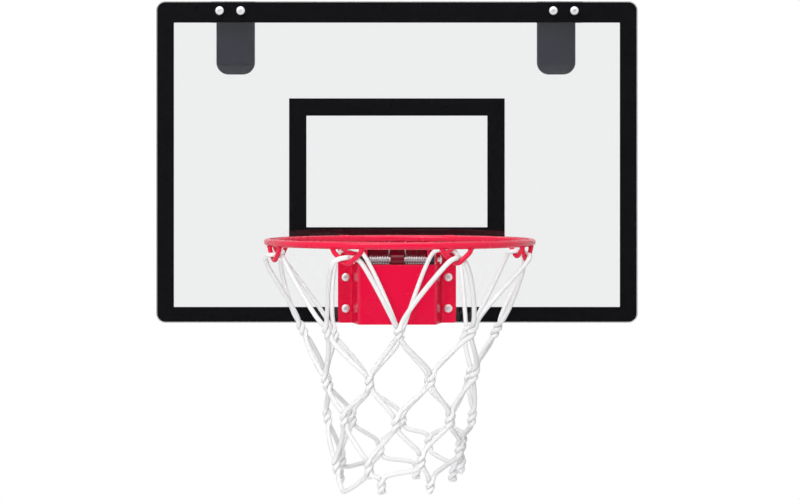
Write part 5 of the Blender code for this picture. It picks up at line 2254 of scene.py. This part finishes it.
@dataclass
class Studio:
    """Camera, soft lights, pale floor and white surroundings."""

    distance: float = 1.5
    camera_x: float = -25 * MM
    above_ring: float = 39 * MM
    focal_pixels: float = 1580.6
    frame_width: int = 800
    sensor: float = 36.0
    shift_x_pixels: float = 29.4
    shift_y_pixels: float = -53.5
    ambient: float = 0.27
    floor_drop: float = 0.26
    floor_size: float = 4.8
    target: tuple[float, float, float] = (0.0, -0.1, -0.2)
    lamps: tuple[Lamp, ...] = (
        Lamp("key", (-0.85, -1.45, 1.6), 1.1, 20.0),
        Lamp("top", (0.1, -0.55, 1.4), 1.0, 8.0),
        Lamp("front", (-0.35, -2.3, 0.3), 0.9, 27.5, mirrored=False),
        Lamp("back", (0.7, 1.9, 0.7), 1.0, 12.0, mirrored=False),
    )

    def build(self) -> None:
        """Set up the picture."""
        self.build_camera()
        self.build_world()
        self.build_floor()
        for lamp in self.lamps:
            lamp.build(Vector(self.target))
        bpy.context.scene.view_settings.view_transform = "Standard"

    def build_camera(self) -> None:
        """The camera, level and square to the board."""
        data = bpy.data.cameras.new("camera")
        data.sensor_width = self.sensor
        data.lens = self.focal_pixels / self.frame_width * self.sensor
        data.shift_x = self.shift_x_pixels / self.frame_width
        data.shift_y = self.shift_y_pixels / self.frame_width
        data.clip_start = 0.05
        data.clip_end = 60
        camera = add_object("camera", data)
        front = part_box("backboard_sheet")[0].y
        camera.location = (self.camera_x, front - self.distance, centre_of("rim_ring").z + self.above_ring)
        camera.rotation_euler = (math.radians(90), 0, 0)
        bpy.context.scene.camera = camera

    def build_world(self) -> None:
        """White to the eye and in reflections, softer as a light."""
        world = bpy.data.worlds.new("studio")
        world.use_nodes = True
        world.node_tree.nodes.clear()
        tree = Nodes(world.node_tree)
        ray = tree.node("ShaderNodeLightPath").outputs
        depth = tree.split(tree.node("ShaderNodeTexCoord").outputs["Generated"])[1]
        mirrored = tree.product(ray["Is Glossy Ray"], tree.ramp(depth, -0.985, -0.8, 0.01, 1.0, soft=True))
        lit = tree.product(ray["Is Diffuse Ray"], self.ambient)
        level = tree.fold("MAXIMUM", ray["Is Camera Ray"], ray["Is Transmission Ray"], mirrored, lit)
        paint = tree.node("ShaderNodeBackground", {"Color": WHITE, "Strength": level})
        tree.node("ShaderNodeOutputWorld", {"Surface": paint})
        bpy.context.scene.world = world

    def build_floor(self) -> None:
        """A pale floor that keeps the hoop's shadow, turns white further out and is clear from below."""
        dress = Dresser("pale_floor")
        dress.shade(Base_Color=(0.86, 0.86, 0.86), Roughness=0.7)
        away = dress.vector("LENGTH", dress.vector("MULTIPLY", dress.place, (1, 1, 0))).outputs["Value"]
        ray = dress.node("ShaderNodeLightPath").outputs
        kinds = ("Camera", "Transmission", "Glossy")
        seen = dress.fold("MAXIMUM", *(ray[f"Is {kind} Ray"] for kind in kinds))
        far = dress.product(dress.ramp(away, 0.45, 1.1, soft=True), seen)
        white = dress.node("ShaderNodeEmission", {"Color": WHITE, "Strength": 1.0})
        both = dress.node("ShaderNodeMixShader", {0: far, 1: dress.surface, 2: white})
        under = dress.node("ShaderNodeNewGeometry").outputs["Backfacing"]
        clear = dress.node("ShaderNodeBsdfTransparent")
        whole = dress.node("ShaderNodeMixShader", {0: under, 1: both, 2: clear})
        dress.feed(dress.tree.nodes["Material Output"], Surface=whole)
        shape = bmesh.new()
        half = self.floor_size / 2
        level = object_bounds()[0].z - self.floor_drop
        corners = rounded_box((-half, -half), (half, half), 0.0)
        shape.faces.new([shape.verts.new((*corner, level)) for corner in corners])
        floor = make_piece("floor", shape, dress.material)
        floor.data.flip_normals()
        floor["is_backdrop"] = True


def main() -> None:
    """Build the hoop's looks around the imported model."""
    logging.basicConfig(level=logging.INFO, format="%(name)s: %(message)s")
    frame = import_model()
    shop = Workshop({joint["name"]: Vector(joint["pos_m"]) for joint in frame["joints"]})
    rim = Rim(shop)
    parts = [Backboard(shop), Bumpers(shop), Hardware(shop), RimBracket(shop), rim, Net(shop, rim)]
    parts += [Hanger(shop, side) for side in Side]
    parts += [TorsionSpring(shop, side) for side in Side]
    for part in parts:
        part.build()
        LOG.info("%s built", type(part).__name__)
    Studio().build()


if __name__ == "__main__":
    main()
